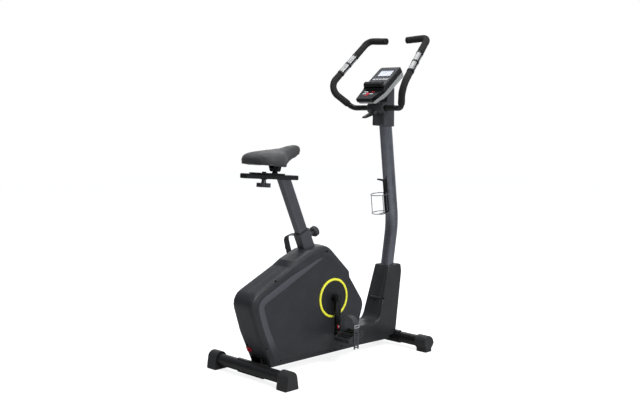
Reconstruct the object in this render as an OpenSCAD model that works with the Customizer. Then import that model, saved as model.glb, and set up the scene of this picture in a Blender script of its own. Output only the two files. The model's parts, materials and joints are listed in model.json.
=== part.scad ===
// Upright exercise bike with a belt-driven magnetic flywheel.
// +X points to the handlebar, +Y to the rider's left, +Z up; the floor is z = 0.

/* [Base] */
// Distance between the two floor tubes, centre to centre
wheelbase = 840; // [780:10:900]
// Width over the caps of the floor tubes
base_w = 500; // [440:10:560]
// Diameter of the floor tubes
floor_tube_d = 50; // [46:1:54]
// Height of the floor tube axes above the floor
floor_tube_z = 42; // [40:1:46]
// Length of each cap on a floor tube
cap_len = 56; // [50:1:64]
// Diameter of the transport wheels
transport_wheel_d = 38; // [34:1:38]

/* [Housing] */
// Width of the drive housing over its side panels
housing_w = 132; // [128:1:140]
// Wall thickness of the moulded shells
shell_t = 3; // [2.4:0.2:3.4]
// Radius of the middle of the coloured ring
ring_r = 80; // [70:1:84]
// Width of the band of the coloured ring
ring_band = 10; // [6:1:12]

/* [Drive] */
// Height of the crank axle above the floor
crank_z = 285; // [280:1:295]
// Distance of the crank axle behind the middle of the bike
crank_back = 20.9; // [12:0.1:22]
// Length of a crank arm, axle to pedal spindle
crank_len = 150; // [130:2:160]
// Radius of the drive pulley under the belt
pulley_r = 110; // [100:1:112]
// Radius of the flywheel
flywheel_r = 130; // [115:1:132]
// Radius of the flywheel's belt pulley
pinion_r = 15; // [13:0.5:18]
// Width of the belt
belt_w = 10; // [8:1:11]

/* [Seat] */
// Backward lean of the seat tube from the vertical
seat_lean = 23.3; // [22:0.1:24]
// Distance from crank axle to the top of the seat post
post_reach = 565; // [540:1:600]
// Depth of the seat post, front to back
post_l = 50; // [44:1:54]
// Width of the seat post
post_w = 34; // [28:1:36]
// Wall of the steel tubes
tube_wall = 2; // [1.6:0.1:2.4]
// Length of the saddle's sliding rail
rail_len = 280; // [264:1:300]
// Width of the rail
rail_w = 40; // [36:1:44]
// Height of the rail
rail_h = 20; // [18:1:22]
// Length of the saddle
saddle_len = 260; // [250:1:280]
// Greatest width of the saddle
saddle_w = 210; // [190:1:230]

/* [Mast and handlebar] */
// Diameter of the mast tube
mast_d = 58; // [54:1:60]
// Diameter of the handlebar tube
bar_d = 25; // [22:0.5:26]
// Diameter of the foam grips
grip_d = 31; // [29:0.5:33]
// Height of the handlebar's straight middle
bar_z = 1098; // [1090:1:1106]
// Width of the console
console_w = 124; // [120:1:140]
// Slope of the console's face from the horizontal
console_tilt = 37.8; // [36:0.1:40]

/* [Hidden] */
$fn = 48;

// Fits: pins turn in bores with run_gap, pieces of other bodies stay part_gap apart.
run_gap = 0.05;
part_gap = 0.3;
far = 400;

// Main stations along the bike.
base_shift = -10.9;
rear_x = base_shift - wheelbase / 2;
front_x = base_shift + wheelbase / 2;
crank_x = -crank_back;
floor_r = floor_tube_d / 2;
cap_in = floor_r + 0.1;

// Main beam between the floor tubes.
beam_w = 60;
beam_lo = 50.5;
beam_h = 36;
beam_top = beam_lo + beam_h;
cradle_t = 4;
cradle_w = 160;
bolt_y = 60;

// Crank set.
bb_r = 22;
bb_bore = 17.5;
bb_half = 35;
axle_r = 10;
belt_y = 43;
arm_y = 86;
arm_t = 13;
spindle_r = 7;
pedal_in = 118.2;
pedal_out = 204;
pedal_tilt = 16;
pedal_z = crank_z - crank_len;

// Flywheel and its neighbours.
fly_x = crank_x - 284;
fly_z = crank_z - 53;
fly_axle_r = 6;
fork_right_y = 28;
fork_left_y = 55;
fork_t = 4;
magnet_gap = 2;
magnet_t = 8;
pivot_r = 4;
pivot_ang = 62;
pivot_arm = flywheel_r + 15;
pivot_x = fly_x + pivot_arm * cos(pivot_ang);
pivot_z = fly_z + pivot_arm * sin(pivot_ang);
idler_r = 18;
idler_x = crank_x - 196;
belt_t = 3;
belt_gap = 0.4;

// Housing: half width, rear face slope, hole sizes.
hw = housing_w / 2;
panel_rise = 4;
side_y = hw - panel_rise;
disc_hole_r = 13;
rear_low = [crank_x - 356, 41];
rear_knee = [crank_x - 423, 190];
rear_bulge = [crank_x - 469, crank_z + 56];
switch_y = 37;
switch_z = 110;
rear_slope = atan((rear_low.x - rear_knee.x) / (rear_knee.y - rear_low.y));
switch_x = rear_low.x - (switch_z - rear_low.y) * tan(rear_slope);
switch_l = 26;
switch_w = 20;
switch_pin = 1.5;
switch_rest = 7;

// Seat tube, bushing and post.
bush_t = 3.2;
sleeve_wall = 2.6;
bush_in_l = post_l + 2 * part_gap;
bush_in_w = post_w + 2 * part_gap;
bush_l = bush_in_l + 2 * bush_t;
bush_w = bush_in_w + 2 * bush_t;
sleeve_l = bush_l + 0.2 + 2 * sleeve_wall;
sleeve_w = bush_w + 0.2 + 2 * sleeve_wall;
sleeve_top = 318;
post_bottom = 160;
pin_s = 283;
pin_r = 5;
pin_boss_r = 11;
pin_boss_end = sleeve_l / 2 + 14;

// Rail and carriage on top of the post.
rail_tilt = 4.8;
rail_back = 218;
rail_x = crank_x - post_reach * sin(seat_lean);
rail_z = crank_z + post_reach * cos(seat_lean) + rail_h / 2;
plate_l = 165;
plate_t = 4.5;
plate_u = -93;
knob_u = -110;
stem_u = -52;
knob_d = 60;
knob_h = 17;
pivot_up = 34;
saddle_x = crank_x - 402;
saddle_z = 871;

// Mast line: two straight stretches joined by a long bend, then a short top.
mast_r = mast_d / 2;
stub_r = mast_r - tube_wall - 0.2;
mast_lean = 9.5;
mast_foot = [front_x - 3, 397];
mast_bend = [front_x + 26.3, 572];
mast_neck = [front_x - 28, 1050];
mast_top = [front_x - 9, 1212];
stub_top = 330;
mast_bolts = [235, 300];

// Handlebar: points of one side with their bend radii.
bar_r = bar_d / 2;
grip_r = grip_d / 2;
bar_x = front_x - 77;
bar_pts = [
  [[bar_x - 9, 146, bar_z - 1], 45], [[bar_x - 94, 224, bar_z + 90], 55],
  [[bar_x + 131, 180, bar_z + 311], 32]
];
bar_end = [bar_x + 126, 66, bar_z + 305];
lug_r = 19;
lug_half = 22;
barrel_r = 26;
barrel_half = 45;
lever_x = bar_x - 31;
lever_z = bar_z - 23;
lever_slope = 17.5;
lever_len = 66;

// Console: its own axes start at the foot of the sloping face.
face_x = front_x - 102;
face_z = 1194;
face_len = 147;
console_deep = 44;
key_u = 52;
key_l = 8.4;
key_w = 14.4;
key_pitch = 19;
key_h = 5.6;
key_rise = 1.6;
pocket_deep = 5.5;
select_u = -50;
select_y = 6;
select_r = 9;
select_tilt = 4.8;
select_w = -3.5;

// Bottle cage on the back of the mast.
bottle_r = 37;
wire_r = 2;
cage_z = 690;
cage_x = mast_bend.x - (cage_z - mast_bend.y) * tan(6.48) - mast_r;

// Colours.
charcoal = [0.15, 0.15, 0.16];
panel_grey = [0.23, 0.24, 0.26];
steel_black = [0.1, 0.1, 0.11];
graphite = [0.33, 0.33, 0.37];
bright = [0.75, 0.76, 0.78];
foam = [0.14, 0.14, 0.15];
yellow = [0.93, 0.93, 0.3];
red = [0.7, 0.08, 0.15];

// ---- Geometry helpers ----

function unit(v) = v / norm(v);
function smooth(t) = let (k = min(1, max(0, t))) k * k * (3 - 2 * k);
function mix(a, b, k) = a + (b - a) * k;

// Points of the arc of radius r that rounds corner b of the path a, b, c.
function arc_at(a, b, c, r, n) =
  let (
    u = unit(a - b), v = unit(c - b), half = acos(u * v) / 2,
    t = r / tan(half), m = b + unit(u + v) * r / sin(half),
    s = b + u * t - m, e = b + v * t - m, sweep = 180 - 2 * half
  )
  [for (i = [0 : n]) m + (s * sin((1 - i / n) * sweep) + e * sin(i / n * sweep)) / sin(sweep)];

// Closed outline from corners [x, y, radius]; every corner gives n + 1 points.
function outline(p, n = 5) = [
  for (i = [0 : len(p) - 1])
    let (a = p[(i + len(p) - 1) % len(p)], b = p[i], c = p[(i + 1) % len(p)])
      each arc_at([a.x, a.y], [b.x, b.y], [c.x, c.y], b.z, n)
];

function edge_out(a, b) = let (d = unit(b - a)) [d.y, -d.x];

// Corners of an anticlockwise outline moved inwards by d, with their radii.
function shrunk(p, d) = [
  for (i = [0 : len(p) - 1])
    let (
      a = p[(i + len(p) - 1) % len(p)], b = p[i], c = p[(i + 1) % len(p)],
      n1 = edge_out([a.x, a.y], [b.x, b.y]), n2 = edge_out([b.x, b.y], [c.x, c.y]),
      m = unit(n1 + n2), q = [b.x, b.y] - m * d / (m * n1),
      turn = sign(n1.x * n2.y - n1.y * n2.x)
    )
      [q.x, q.y, max(0.8, b.z - turn * d)]
];

// Skin over a list of rings of equal length, closed by its first and last ring.
module loft(rings) {
  n = len(rings[0]);
  m = len(rings);
  polyhedron(
    points = [for (r = rings) each r],
    faces = [
      [for (j = [0 : n - 1]) j],
      [for (j = [n - 1 : -1 : 0]) (m - 1) * n + j],
      for (i = [0 : m - 2]) for (j = [0 : n - 1])
        let (a = i * n + j, b = i * n + (j + 1) % n)
          each [[a, a + n, b + n], [a, b + n, b]]
    ]
  );
}

// Side view profile, given in x and z, as a plate from y0 to y1.
module plate(pts, y0, y1) {
  translate([0, y1, 0]) rotate([90, 0, 0]) linear_extrude(y1 - y0) polygon(pts);
}

// Cylinder along Y from y0 to y1 at x, z.
module rod_y(x, z, r, y0, y1) {
  translate([x, y1, z]) rotate([90, 0, 0]) cylinder(r = r, h = y1 - y0);
}

module ring_y(x, z, r_out, r_in, y0, y1) {
  difference() {
    rod_y(x, z, r_out, y0, y1);
    rod_y(x, z, r_in, y0 - 1, y1 + 1);
  }
}

// Box with rounded edges along Z, centred in x and y, standing on z = 0.
module round_box(l, w, h, r) {
  linear_extrude(h) round_rect(l, w, r);
}

module round_rect(l, w, r) {
  square([l - 2 * r, w], center = true);
  square([l, w - 2 * r], center = true);
  for (x = [-1, 1]) for (y = [-1, 1])
    translate([x * (l / 2 - r), y * (w / 2 - r)]) circle(r);
}

// Rectangular tube with rounded edges along Z.
module box_tube(l, w, h, wall, r) {
  linear_extrude(h) difference() {
    round_rect(l, w, r);
    round_rect(l - 2 * wall, w - 2 * wall, max(0.5, r - wall));
  }
}

// Places children so that their X axis lies along ax and their Z axis along az.
module frame_at(o, ax, az) {
  ay = cross(az, ax);
  multmatrix([
    [ax.x, ay.x, az.x, o.x],
    [ax.y, ay.y, az.y, o.y],
    [ax.z, ay.z, az.z, o.z],
    [0, 0, 0, 1]
  ])
    children();
}

module ring_profile(ro, ri) {
  difference() {
    circle(ro);
    if (ri > 0) circle(ri);
  }
}

function side_vec(d) = unit(abs(d.z) < 0.9 ? cross(d, [0, 0, 1]) : cross(d, [1, 0, 0]));

// Straight tube from a to b.
module tube_line(a, b, ro, ri) {
  d = unit(b - a);
  frame_at(a, side_vec(d), d) linear_extrude(norm(b - a)) ring_profile(ro, ri);
}

// Straight tube between two bends: a hair thinner and run a little into each of
// them, so that the pieces join through their walls.
module tube_link(a, b, ro, ri) {
  d = unit(b - a);
  tube_line(a - d, b + d, ro - 0.1, ri > 0 ? ri + 0.1 : 0);
}

// Tube bend of radius r round corner b of the path a, b, c.
module tube_bend(a, b, c, r, ro, ri) {
  u = unit(a - b);
  v = unit(c - b);
  half = acos(u * v) / 2;
  m = b + unit(u + v) * r / sin(half);
  s = b + u * r / tan(half) - m;
  e = b + v * r / tan(half) - m;
  frame_at(m, unit(s), unit(cross(s, e)))
    rotate_extrude(angle = 180 - 2 * half, $fn = 96)
      translate([r, 0]) ring_profile(ro, ri);
}

// Start and end of the bend at corner b.
function bend_start(a, b, c, r) =
  let (u = unit(a - b), v = unit(c - b)) b + u * r / tan(acos(u * v) / 2);
function bend_end(a, b, c, r) = bend_start(c, b, a, r);

// ---- Places ----

module at_seat(s) {
  translate([crank_x - s * sin(seat_lean), 0, crank_z + s * cos(seat_lean)])
    rotate([0, -seat_lean, 0]) children();
}

module at_rail(u) {
  translate([rail_x + u * cos(rail_tilt), 0, rail_z - u * sin(rail_tilt)])
    rotate([0, rail_tilt, 0]) children();
}

module at_console() {
  translate([face_x, 0, face_z]) rotate([0, -console_tilt, 0]) children();
}

module at_mast_foot() {
  translate([mast_foot.x, 0, mast_foot.y]) rotate([0, mast_lean, 0]) children();
}

module at_switch() {
  translate([switch_x, switch_y, switch_z]) rotate([0, -90 - rear_slope, 0]) children();
}

// ---- Base ----

module cradle(x, side) {
  difference() {
    rod_y(x, floor_tube_z, floor_r + 0.15 + cradle_t, -cradle_w / 2, cradle_w / 2);
    rod_y(x, floor_tube_z, floor_r + 0.15, -cradle_w, cradle_w);
    translate([x - side * (far / 2 + 6), 0, floor_tube_z]) cube(far, center = true);
  }
}

module fork_plates() {
  lug_w = 30;
  plate(
    [
      [fly_x - 34, beam_lo], [fly_x + 34, beam_lo], [fly_x + 18, fly_z - 20],
      [pivot_x + 9, pivot_z - 6], [pivot_x + 6, pivot_z + 9], [pivot_x - 8, pivot_z + 8],
      [fly_x - 16, fly_z + 14], [fly_x - 16, fly_z - 20]
    ],
    -fork_right_y - fork_t, -fork_right_y
  );
  plate(
    [
      [fly_x - 13, beam_lo + 12], [fly_x + 34, beam_lo + 12], [fly_x + 16, fly_z - 20],
      [fly_x + 16, fly_z + 14], [fly_x - 13, fly_z + 14]
    ],
    fork_left_y - fork_t, fork_left_y
  );
  translate([fly_x - 13, beam_w / 2 - 1, beam_lo + 12])
    cube([13 + lug_w, fork_left_y - beam_w / 2, 20]);
  translate([fly_x - lug_w, -fork_right_y - fork_t, beam_lo])
    cube([2 * lug_w, 6, 24]);
}

module base_frame() {
  stub_a = [mast_foot.x - (mast_foot.y - beam_top + 20) * tan(mast_lean), 0, beam_top - 20];
  stub_b = [mast_foot.x - (mast_foot.y - stub_top) * tan(mast_lean), 0, stub_top];
  beam_x0 = rear_x + floor_r + 2;
  beam_x1 = front_x - floor_r - 2;
  idler_z = belt_under(idler_x) - belt_t - belt_gap - idler_r;
  color(steel_black) difference() {
    union() {
      translate([beam_x0, -beam_w / 2, beam_lo]) cube([beam_x1 - beam_x0, beam_w, beam_h]);
      cradle(rear_x, 1);
      cradle(front_x, -1);
      rod_y(crank_x, crank_z, bb_r, -bb_half, bb_half);
      for (s = [-1, 1])
        plate(
          [
            [crank_x - 60, beam_lo + 6], [crank_x + 60, beam_lo + 6],
            [crank_x + 20, crank_z - 4], [crank_x - 20, crank_z - 4]
          ],
          s > 0 ? sleeve_w / 2 + 2 : -sleeve_w / 2 - 6,
          s > 0 ? sleeve_w / 2 + 6 : -sleeve_w / 2 - 2
        );
      intersection() {
        tube_line(stub_a, stub_b, stub_r, 0);
        translate([stub_a.x - 50, -50, beam_top - 2]) cube([200, 100, far]);
      }
      fork_plates();
      // Pin of the magnet bracket.
      rod_y(pivot_x, pivot_z, pivot_r, -fork_right_y - fork_t, 24);
      // Stand-offs that take the lower screws of the housing.
      for (p = frame_screws) for (s = [-1, 1])
        rod_y(p.x, p.y, 6, s > 0 ? beam_w / 2 - 1 : -54, s > 0 ? 54 : -beam_w / 2 + 1);
      // Post and pin of the belt idler.
      translate([idler_x - 9, 22, beam_top - 4]) cube([18, 6, idler_z - beam_top + 14]);
      rod_y(idler_x, idler_z, 5, 22, belt_y + belt_w / 2 + 3);
    }
    // Hollow of the beam and the bearing seats of the crank.
    translate([beam_x0 - 1, -beam_w / 2 + tube_wall, beam_lo + tube_wall])
      cube([beam_x1 - beam_x0 + 2, beam_w - 2 * tube_wall, beam_h - 2 * tube_wall]);
    rod_y(crank_x, crank_z, bb_bore, -far, far);
    tube_line(stub_a, stub_b + [0, 0, 1], stub_r - tube_wall - 0.5, 0);
    rod_y(fly_x, fly_z, fly_axle_r + 0.1, -far, far);
    // Holes for the floor tube bolts, the mast bolts and the housing's screws.
    for (s = [-1, 1]) for (y = [-bolt_y, bolt_y])
      translate([s > 0 ? rear_x : front_x, y, floor_tube_z]) rotate([0, s * 90, 0]) cylinder(r = 4.3, h = 45);
    for (z = mast_bolts)
      translate([mast_foot.x - (mast_foot.y - z) * tan(mast_lean), 0, z])
        rotate([0, mast_lean - 90, 0]) cylinder(r = 4.1, h = 40);
    for (p = frame_screws) for (s = [-1, 1])
      rod_y(p.x, p.y, 1.65, s > 0 ? 40 : -60, s > 0 ? 60 : -40);
    // Floor tubes pass clear through the ends of the beam.
    for (x = [rear_x, front_x]) rod_y(x, floor_tube_z, floor_r + 0.15, -far, far);
  }
}

module floor_tube(x, side) {
  color(steel_black) difference() {
    rod_y(x, floor_tube_z, floor_r, 5 - base_w / 2, base_w / 2 - 5);
    rod_y(x, floor_tube_z, floor_r - tube_wall, -base_w, base_w);
    for (y = [-bolt_y, bolt_y])
      translate([x, y, floor_tube_z]) rotate([0, side * 90, 0]) cylinder(r = 4.3, h = 45);
  }
}

module rear_stabilizer() floor_tube(rear_x, 1);

module front_stabilizer() floor_tube(front_x, -1);

// Arched end cap with a flat sole, built for the +Y end.
module rear_cap() {
  y1 = base_w / 2;
  top = floor_tube_z + floor_r + 9;
  shape = [
    [rear_x - 37, 0, 5], [rear_x + 37, 0, 5], [rear_x + 26, top, 29.5], [rear_x - 26, top, 29.5]
  ];
  difference() {
    union() {
      plate(outline(shape, 8), y1 - cap_len, y1 - 6);
      plate(outline(shrunk(shape, 1.5), 8), y1 - 6.1, y1 - 2.5);
      plate(outline(shrunk(shape, 4), 8), y1 - 2.6, y1);
    }
    rod_y(rear_x, floor_tube_z, cap_in, -1, y1 - 4.9);
  }
}

module rear_caps() color(charcoal) {
  rear_cap();
  mirror([0, 1, 0]) rear_cap();
}

wheel_x = front_x + floor_r + transport_wheel_d / 2;
wheel_z = floor_tube_z - 10;
wheel_y = base_w / 2 - 32;
wheel_w = 18;
ear_t = 4;

// Round end cap with a sole below and two ears that hold the transport wheel.
module front_cap() {
  r = floor_r + 6.5;
  y1 = base_w / 2;
  y0 = y1 - cap_len - 4;
  difference() {
    union() {
      rod_y(front_x, floor_tube_z, r, y0, y1 - 3);
      rod_y(front_x, floor_tube_z, r - 1.6, y1 - 3.1, y1);
      translate([front_x - 20, y0 + 3, 0]) cube([40, y1 - y0 - 6, 20]);
      for (y = [wheel_y - wheel_w / 2 - 1 - ear_t, wheel_y + wheel_w / 2 + 1])
        plate(
          [
            [front_x + 10, wheel_z - 11], [wheel_x, wheel_z - 11], [wheel_x + 9, wheel_z - 7],
            [wheel_x + 12, wheel_z], [wheel_x + 9, wheel_z + 8], [front_x + 20, floor_tube_z + 22],
            [front_x + 5, floor_tube_z + 12]
          ],
          y, y + ear_t
        );
    }
    rod_y(front_x, floor_tube_z, cap_in, -1, y1 - 4.9);
    rod_y(wheel_x, wheel_z, transport_wheel_d / 2 + 1.5, wheel_y - wheel_w / 2 - 1, wheel_y + wheel_w / 2 + 1);
    rod_y(wheel_x, wheel_z, 4.05, -1, y1 + 1);
  }
}

module front_caps() color(charcoal) {
  front_cap();
  mirror([0, 1, 0]) front_cap();
}

module transport_wheel() {
  translate([wheel_x, wheel_y, wheel_z]) rotate([90, 0, 0])
    rotate_extrude() difference() {
      translate([4 + run_gap, -wheel_w / 2]) square([transport_wheel_d / 2 - 4 - run_gap, wheel_w]);
      for (s = [-1, 1]) translate([9, s * wheel_w / 2 - 2.5]) square([4.5, 5]);
      for (s = [-1, 1])
        translate([transport_wheel_d / 2, s * wheel_w / 2]) rotate(45) square(3, center = true);
    }
}

module transport_wheel_left() color(foam) transport_wheel();

module transport_wheel_right() color(foam) mirror([0, 1, 0]) transport_wheel();

// Hex bolt through a cradle into a nut welded inside the floor tube.
module floor_bolt(x, y, side) {
  head = floor_r + cradle_t + 0.3;
  nut = floor_r - tube_wall - 1.4;
  translate([x, y, floor_tube_z]) rotate([0, side * 90, 0]) {
    translate([0, 0, nut - 9]) cylinder(r = 4, h = head - nut + 10);
    translate([0, 0, nut - 7]) cylinder(r = 7, h = 7, $fn = 6);
    translate([0, 0, head]) cylinder(r = 9, h = 1.6);
    translate([0, 0, head + 1.5]) cylinder(r = 7, h = 5.3, $fn = 6);
  }
}

// Cross-head screw along Y at x, z: head seat at depth y, shank towards the middle.
module shell_screw(x, z, y, len) {
  difference() {
    union() {
      rod_y(x, z, 1.6, -y, -y + len);
      rod_y(x, z, 3.6, -y - 2, -y - 0.1);
    }
    translate([x, -y - 2, z]) cube([1, 1.6, 5], center = true);
    translate([x, -y - 2, z]) cube([5, 1.6, 1], center = true);
  }
}

// Screws that join the two halves deep in their posts, and those into the frame.
// The third value is how far out the post reaches.
joint_screws = [
  [crank_x - 326, crank_z + 113, 50], [crank_x - 378, 128, 50],
  [crank_x - 34, crank_z + 204, 60]
];
boot_screws = [[front_x - 85, 228, 36], [front_x + 3, 136, 36]];
frame_screws = [[crank_x - 306, 66], [crank_x + 52, 63]];
post_depth = 14;
seat_depth = 61.2;

module screw_posts(places) {
  for (p = places) rod_y(p.x, p.y, 6, -p.z, -0.1);
}

module screw_holes(places) {
  for (p = places) {
    rod_y(p.x, p.y, 1.7, -far, 0);
    rod_y(p.x, p.y, 3.9, -far, -post_depth);
  }
}

module fasteners() color(bright) {
  for (y = [-bolt_y, bolt_y]) {
    floor_bolt(rear_x, y, 1);
    floor_bolt(front_x, y, -1);
  }
  for (s = [-1, 1]) {
    translate([0, s * wheel_y, 0]) {
      rod_y(wheel_x, wheel_z, 4, -wheel_w / 2 - 1 - ear_t, wheel_w / 2 + 1 + ear_t);
    }
    if (s > 0) for (p = frame_screws) shell_screw(p.x, p.y, seat_depth, 18);
    if (s < 0) mirror([0, 1, 0]) for (p = frame_screws) shell_screw(p.x, p.y, seat_depth, 18);
  }
  for (p = joint_screws) shell_screw(p.x, p.y, post_depth, 28);
  for (p = boot_screws) shell_screw(p.x, p.y, post_depth, 28);
  // Two bolts that hold the mast on its stub.
  for (z = mast_bolts)
    translate([mast_foot.x - (mast_foot.y - z) * tan(mast_lean), 0, z])
      rotate([0, mast_lean - 90, 0]) {
        translate([0, 0, mast_r + 0.1]) cylinder(r = 7, h = 5, $fn = 6);
        translate([0, 0, stub_r - 8]) cylinder(r = 4, h = mast_r - stub_r + 9);
      }
}

// ---- Housing ----

// Side view of the housing; k is 1 on the middle plane and 0 on the side panels,
// so that the hump round the seat tube narrows towards the rear.
function housing_shape(k) =
  let (x = crank_x, z = crank_z)
  [
    [rear_low.x, rear_low.y, 14],
    [x + 166, 39, 6],
    [x + 166, 126, 6],
    [x + 204, z - 49, 55],
    [x + 114, z + 77, 18],
    [x + 111, z + 103, 14],
    [x - 24, z + mix(228, 237, k), 70],
    [x - mix(104, 134, k), z + mix(206, 221, k), 30],
    [x - mix(172, 228, k), z + mix(181, 184, k), mix(30, 7, k)],
    [x - 246, z + mix(156, 160, k), mix(60, 25, k)],
    [rear_bulge.x, rear_bulge.y, 60],
    [rear_knee.x, rear_knee.y, 150]
  ];

function hump_at(y) = sqrt(max(0, 1 - pow(y / side_y, 2)));

// One ring of the right shell at depth y, moved inwards by d.
function shell_ring(y, d) =
  [for (p = outline(shrunk(housing_shape(hump_at(y)), d))) [p.x, -y, p.y]];

// Ring of the raised side panel; its chamfer is wide at the rear and narrow in front.
function panel_ring(y, d0, d1) =
  let (
    a = outline(shrunk(housing_shape(0), d0)), b = outline(shrunk(housing_shape(0), d1))
  )
  [
    for (i = [0 : len(a) - 1])
      let (w = mix(1, 0.3, smooth((a[i].x - crank_x + 40) / 120)), p = mix(a[i], b[i], w))
        [p.x, -y, p.y]
  ];

module housing_half() {
  t = shell_t;
  sleeve_gap = 1;
  difference() {
    union() {
      screw_posts(joint_screws);
      loft([
      shell_ring(side_y - t, 20), shell_ring(side_y - t - 2, 14), shell_ring(side_y - 10, t + 2.5),
      shell_ring(side_y - 18, t), shell_ring(side_y / 2, t), shell_ring(0.1, t),
      shell_ring(0.1, 0), shell_ring(side_y / 3, 0), shell_ring(side_y * 0.6, 0),
      shell_ring(side_y - 14, 0.4), shell_ring(side_y - 7, 2.2), shell_ring(side_y - 2.6, 6),
      shell_ring(side_y - 0.4, 10.5), shell_ring(side_y, 13),
      panel_ring(side_y - 1.2, 14, 14), panel_ring(side_y - 1.2, 15.5, 15.5),
      panel_ring(side_y, 16.5, 16.5), panel_ring(hw, 17.5, 30)
      ]);
    }
    // Crank axle.
    rod_y(crank_x, crank_z, disc_hole_r + 2, -far, 0);
    // Sleeve of the seat tube.
    at_seat(150) translate([-sleeve_l / 2 - sleeve_gap, -sleeve_w / 2 - sleeve_gap, 0])
      cube([sleeve_l + 2 * sleeve_gap, sleeve_w + 2 * sleeve_gap, 200]);
    // Beam through the rear and front walls.
    translate([rear_low.x - 60, -beam_w / 2 - 1, beam_lo - 1]) cube([90, beam_w + 2, beam_h + 2]);
    translate([crank_x + 150, -beam_w / 2 - 1, beam_lo - 1]) cube([30, beam_w + 2, beam_h + 2]);
    for (p = frame_screws) {
      rod_y(p.x, p.y, 1.7, -far, 0);
      rod_y(p.x, p.y, 3.9, -far, -seat_depth + 0.1);
    }
  }
}

module housing_right() color(charcoal) difference() {
  housing_half();
  screw_holes(joint_screws);
}

module housing_left() color(charcoal) difference() {
  mirror([0, 1, 0]) housing_half();
  for (p = joint_screws) rod_y(p.x, p.y, 1.65, -1, 20);
  // The post behind the switch is short.
  translate([crank_x - 378, 61, 128]) cube([20, 78, 20], center = true);
  at_switch() translate([0, 0, -12]) round_box(switch_w + 4, switch_l + 4, 30, 1.5);
  at_switch() translate([22, 6, -12]) cylinder(r = 6.1, h = 30);
}

// Dished disc between the panel and the crank, inside the ring.
module disc_cover() {
  r = ring_r - ring_band / 2 - 0.2;
  translate([crank_x, 0, crank_z]) rotate([90, 0, 0])
    rotate_extrude($fn = 96) polygon([
      [disc_hole_r, hw - 6], [disc_hole_r + 1.8, hw - 6], [disc_hole_r + 1.8, hw + 0.1],
      [r, hw + 0.1], [r, hw + 2.6], [r - 1.4, hw + 4], [disc_hole_r + 14, hw + 4],
      [disc_hole_r + 3, hw + 2], [disc_hole_r, hw + 2]
    ]);
}

module disc_covers() color(panel_grey) {
  disc_cover();
  mirror([0, 1, 0]) disc_cover();
}

module disc_ring() {
  w = ring_band / 2;
  translate([crank_x, 0, crank_z]) rotate([90, 0, 0])
    rotate_extrude($fn = 96) translate([ring_r, hw + 0.1]) {
      translate([-w, 0]) square([2 * w, 3]);
      translate([-w + 2, 0]) square([2 * w - 4, 5]);
      for (s = [-1, 1]) translate([s * (w - 2), 3]) circle(r = 2, $fn = 24);
    }
}

module disc_rings() color(yellow) {
  disc_ring();
  mirror([0, 1, 0]) disc_ring();
}

// ---- Mast boot ----

boot_half = 56;
boot_x0 = crank_x + 167;

// Side view of the boot; dent moves its rear face forwards on the middle plane.
function boot_shape(dent) = [
  [boot_x0, 41, 4], [front_x - 12, 35, 6], [front_x - 2, 71, 8],
  [front_x + 48, 342, 12], [front_x + 42, 376, 9], [front_x - 44 + dent, 376, 9],
  [front_x - 121 + dent, 127, 45], [boot_x0, 128, 4]
];

function boot_squeeze(z) = mix(1, 0.8, smooth((z - 130) / 240));

function boot_ring(y, d) =
  let (dent = 8 * pow(max(0, 1 - pow(y / 40, 2)), 0.7))
  [for (p = outline(shrunk(boot_shape(dent), d))) [p.x, -y * boot_squeeze(p.y), p.y]];

module boot_half_shell() {
  t = shell_t;
  y1 = boot_half;
  difference() {
    union() {
      screw_posts(boot_screws);
      loft([
      boot_ring(y1 - t, 14), boot_ring(y1 - t - 2, 8), boot_ring(y1 - 10, t + 0.6),
      boot_ring(30, t), boot_ring(15, t), boot_ring(0.1, t),
      boot_ring(0.1, 0), boot_ring(15, 0), boot_ring(30, 0), boot_ring(y1 - 13, 0),
      boot_ring(y1 - 5, 1.2), boot_ring(y1 - 1.4, 4.4), boot_ring(y1, 9)
      ]);
    }
    at_mast_foot() translate([0, 0, -60]) cylinder(r = mast_r + 0.6, h = 120);
    translate([boot_x0 - 10, -beam_w / 2 - 1, beam_lo - 1]) cube([30, beam_w + 2, beam_h + 2]);
    rod_y(front_x, floor_tube_z, floor_r + cradle_t + 1, -far, 1);
    translate([front_x - 34, -far, floor_tube_z - 60]) cube([80, far + 1, 60]);
    // Notch for the head of the floor tube bolt.
    translate([front_x - 52, -bolt_y, floor_tube_z]) rotate([0, 90, 0]) cylinder(r = 12, h = 60);
  }
}

module boot_right() color(charcoal) difference() {
  boot_half_shell();
  screw_holes(boot_screws);
}

module boot_left() color(charcoal) difference() {
  mirror([0, 1, 0]) boot_half_shell();
  for (p = boot_screws) rod_y(p.x, p.y, 1.65, -1, 20);
}

// ---- Mast ----

function on3(p) = [p.x, 0, p.y];

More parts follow.
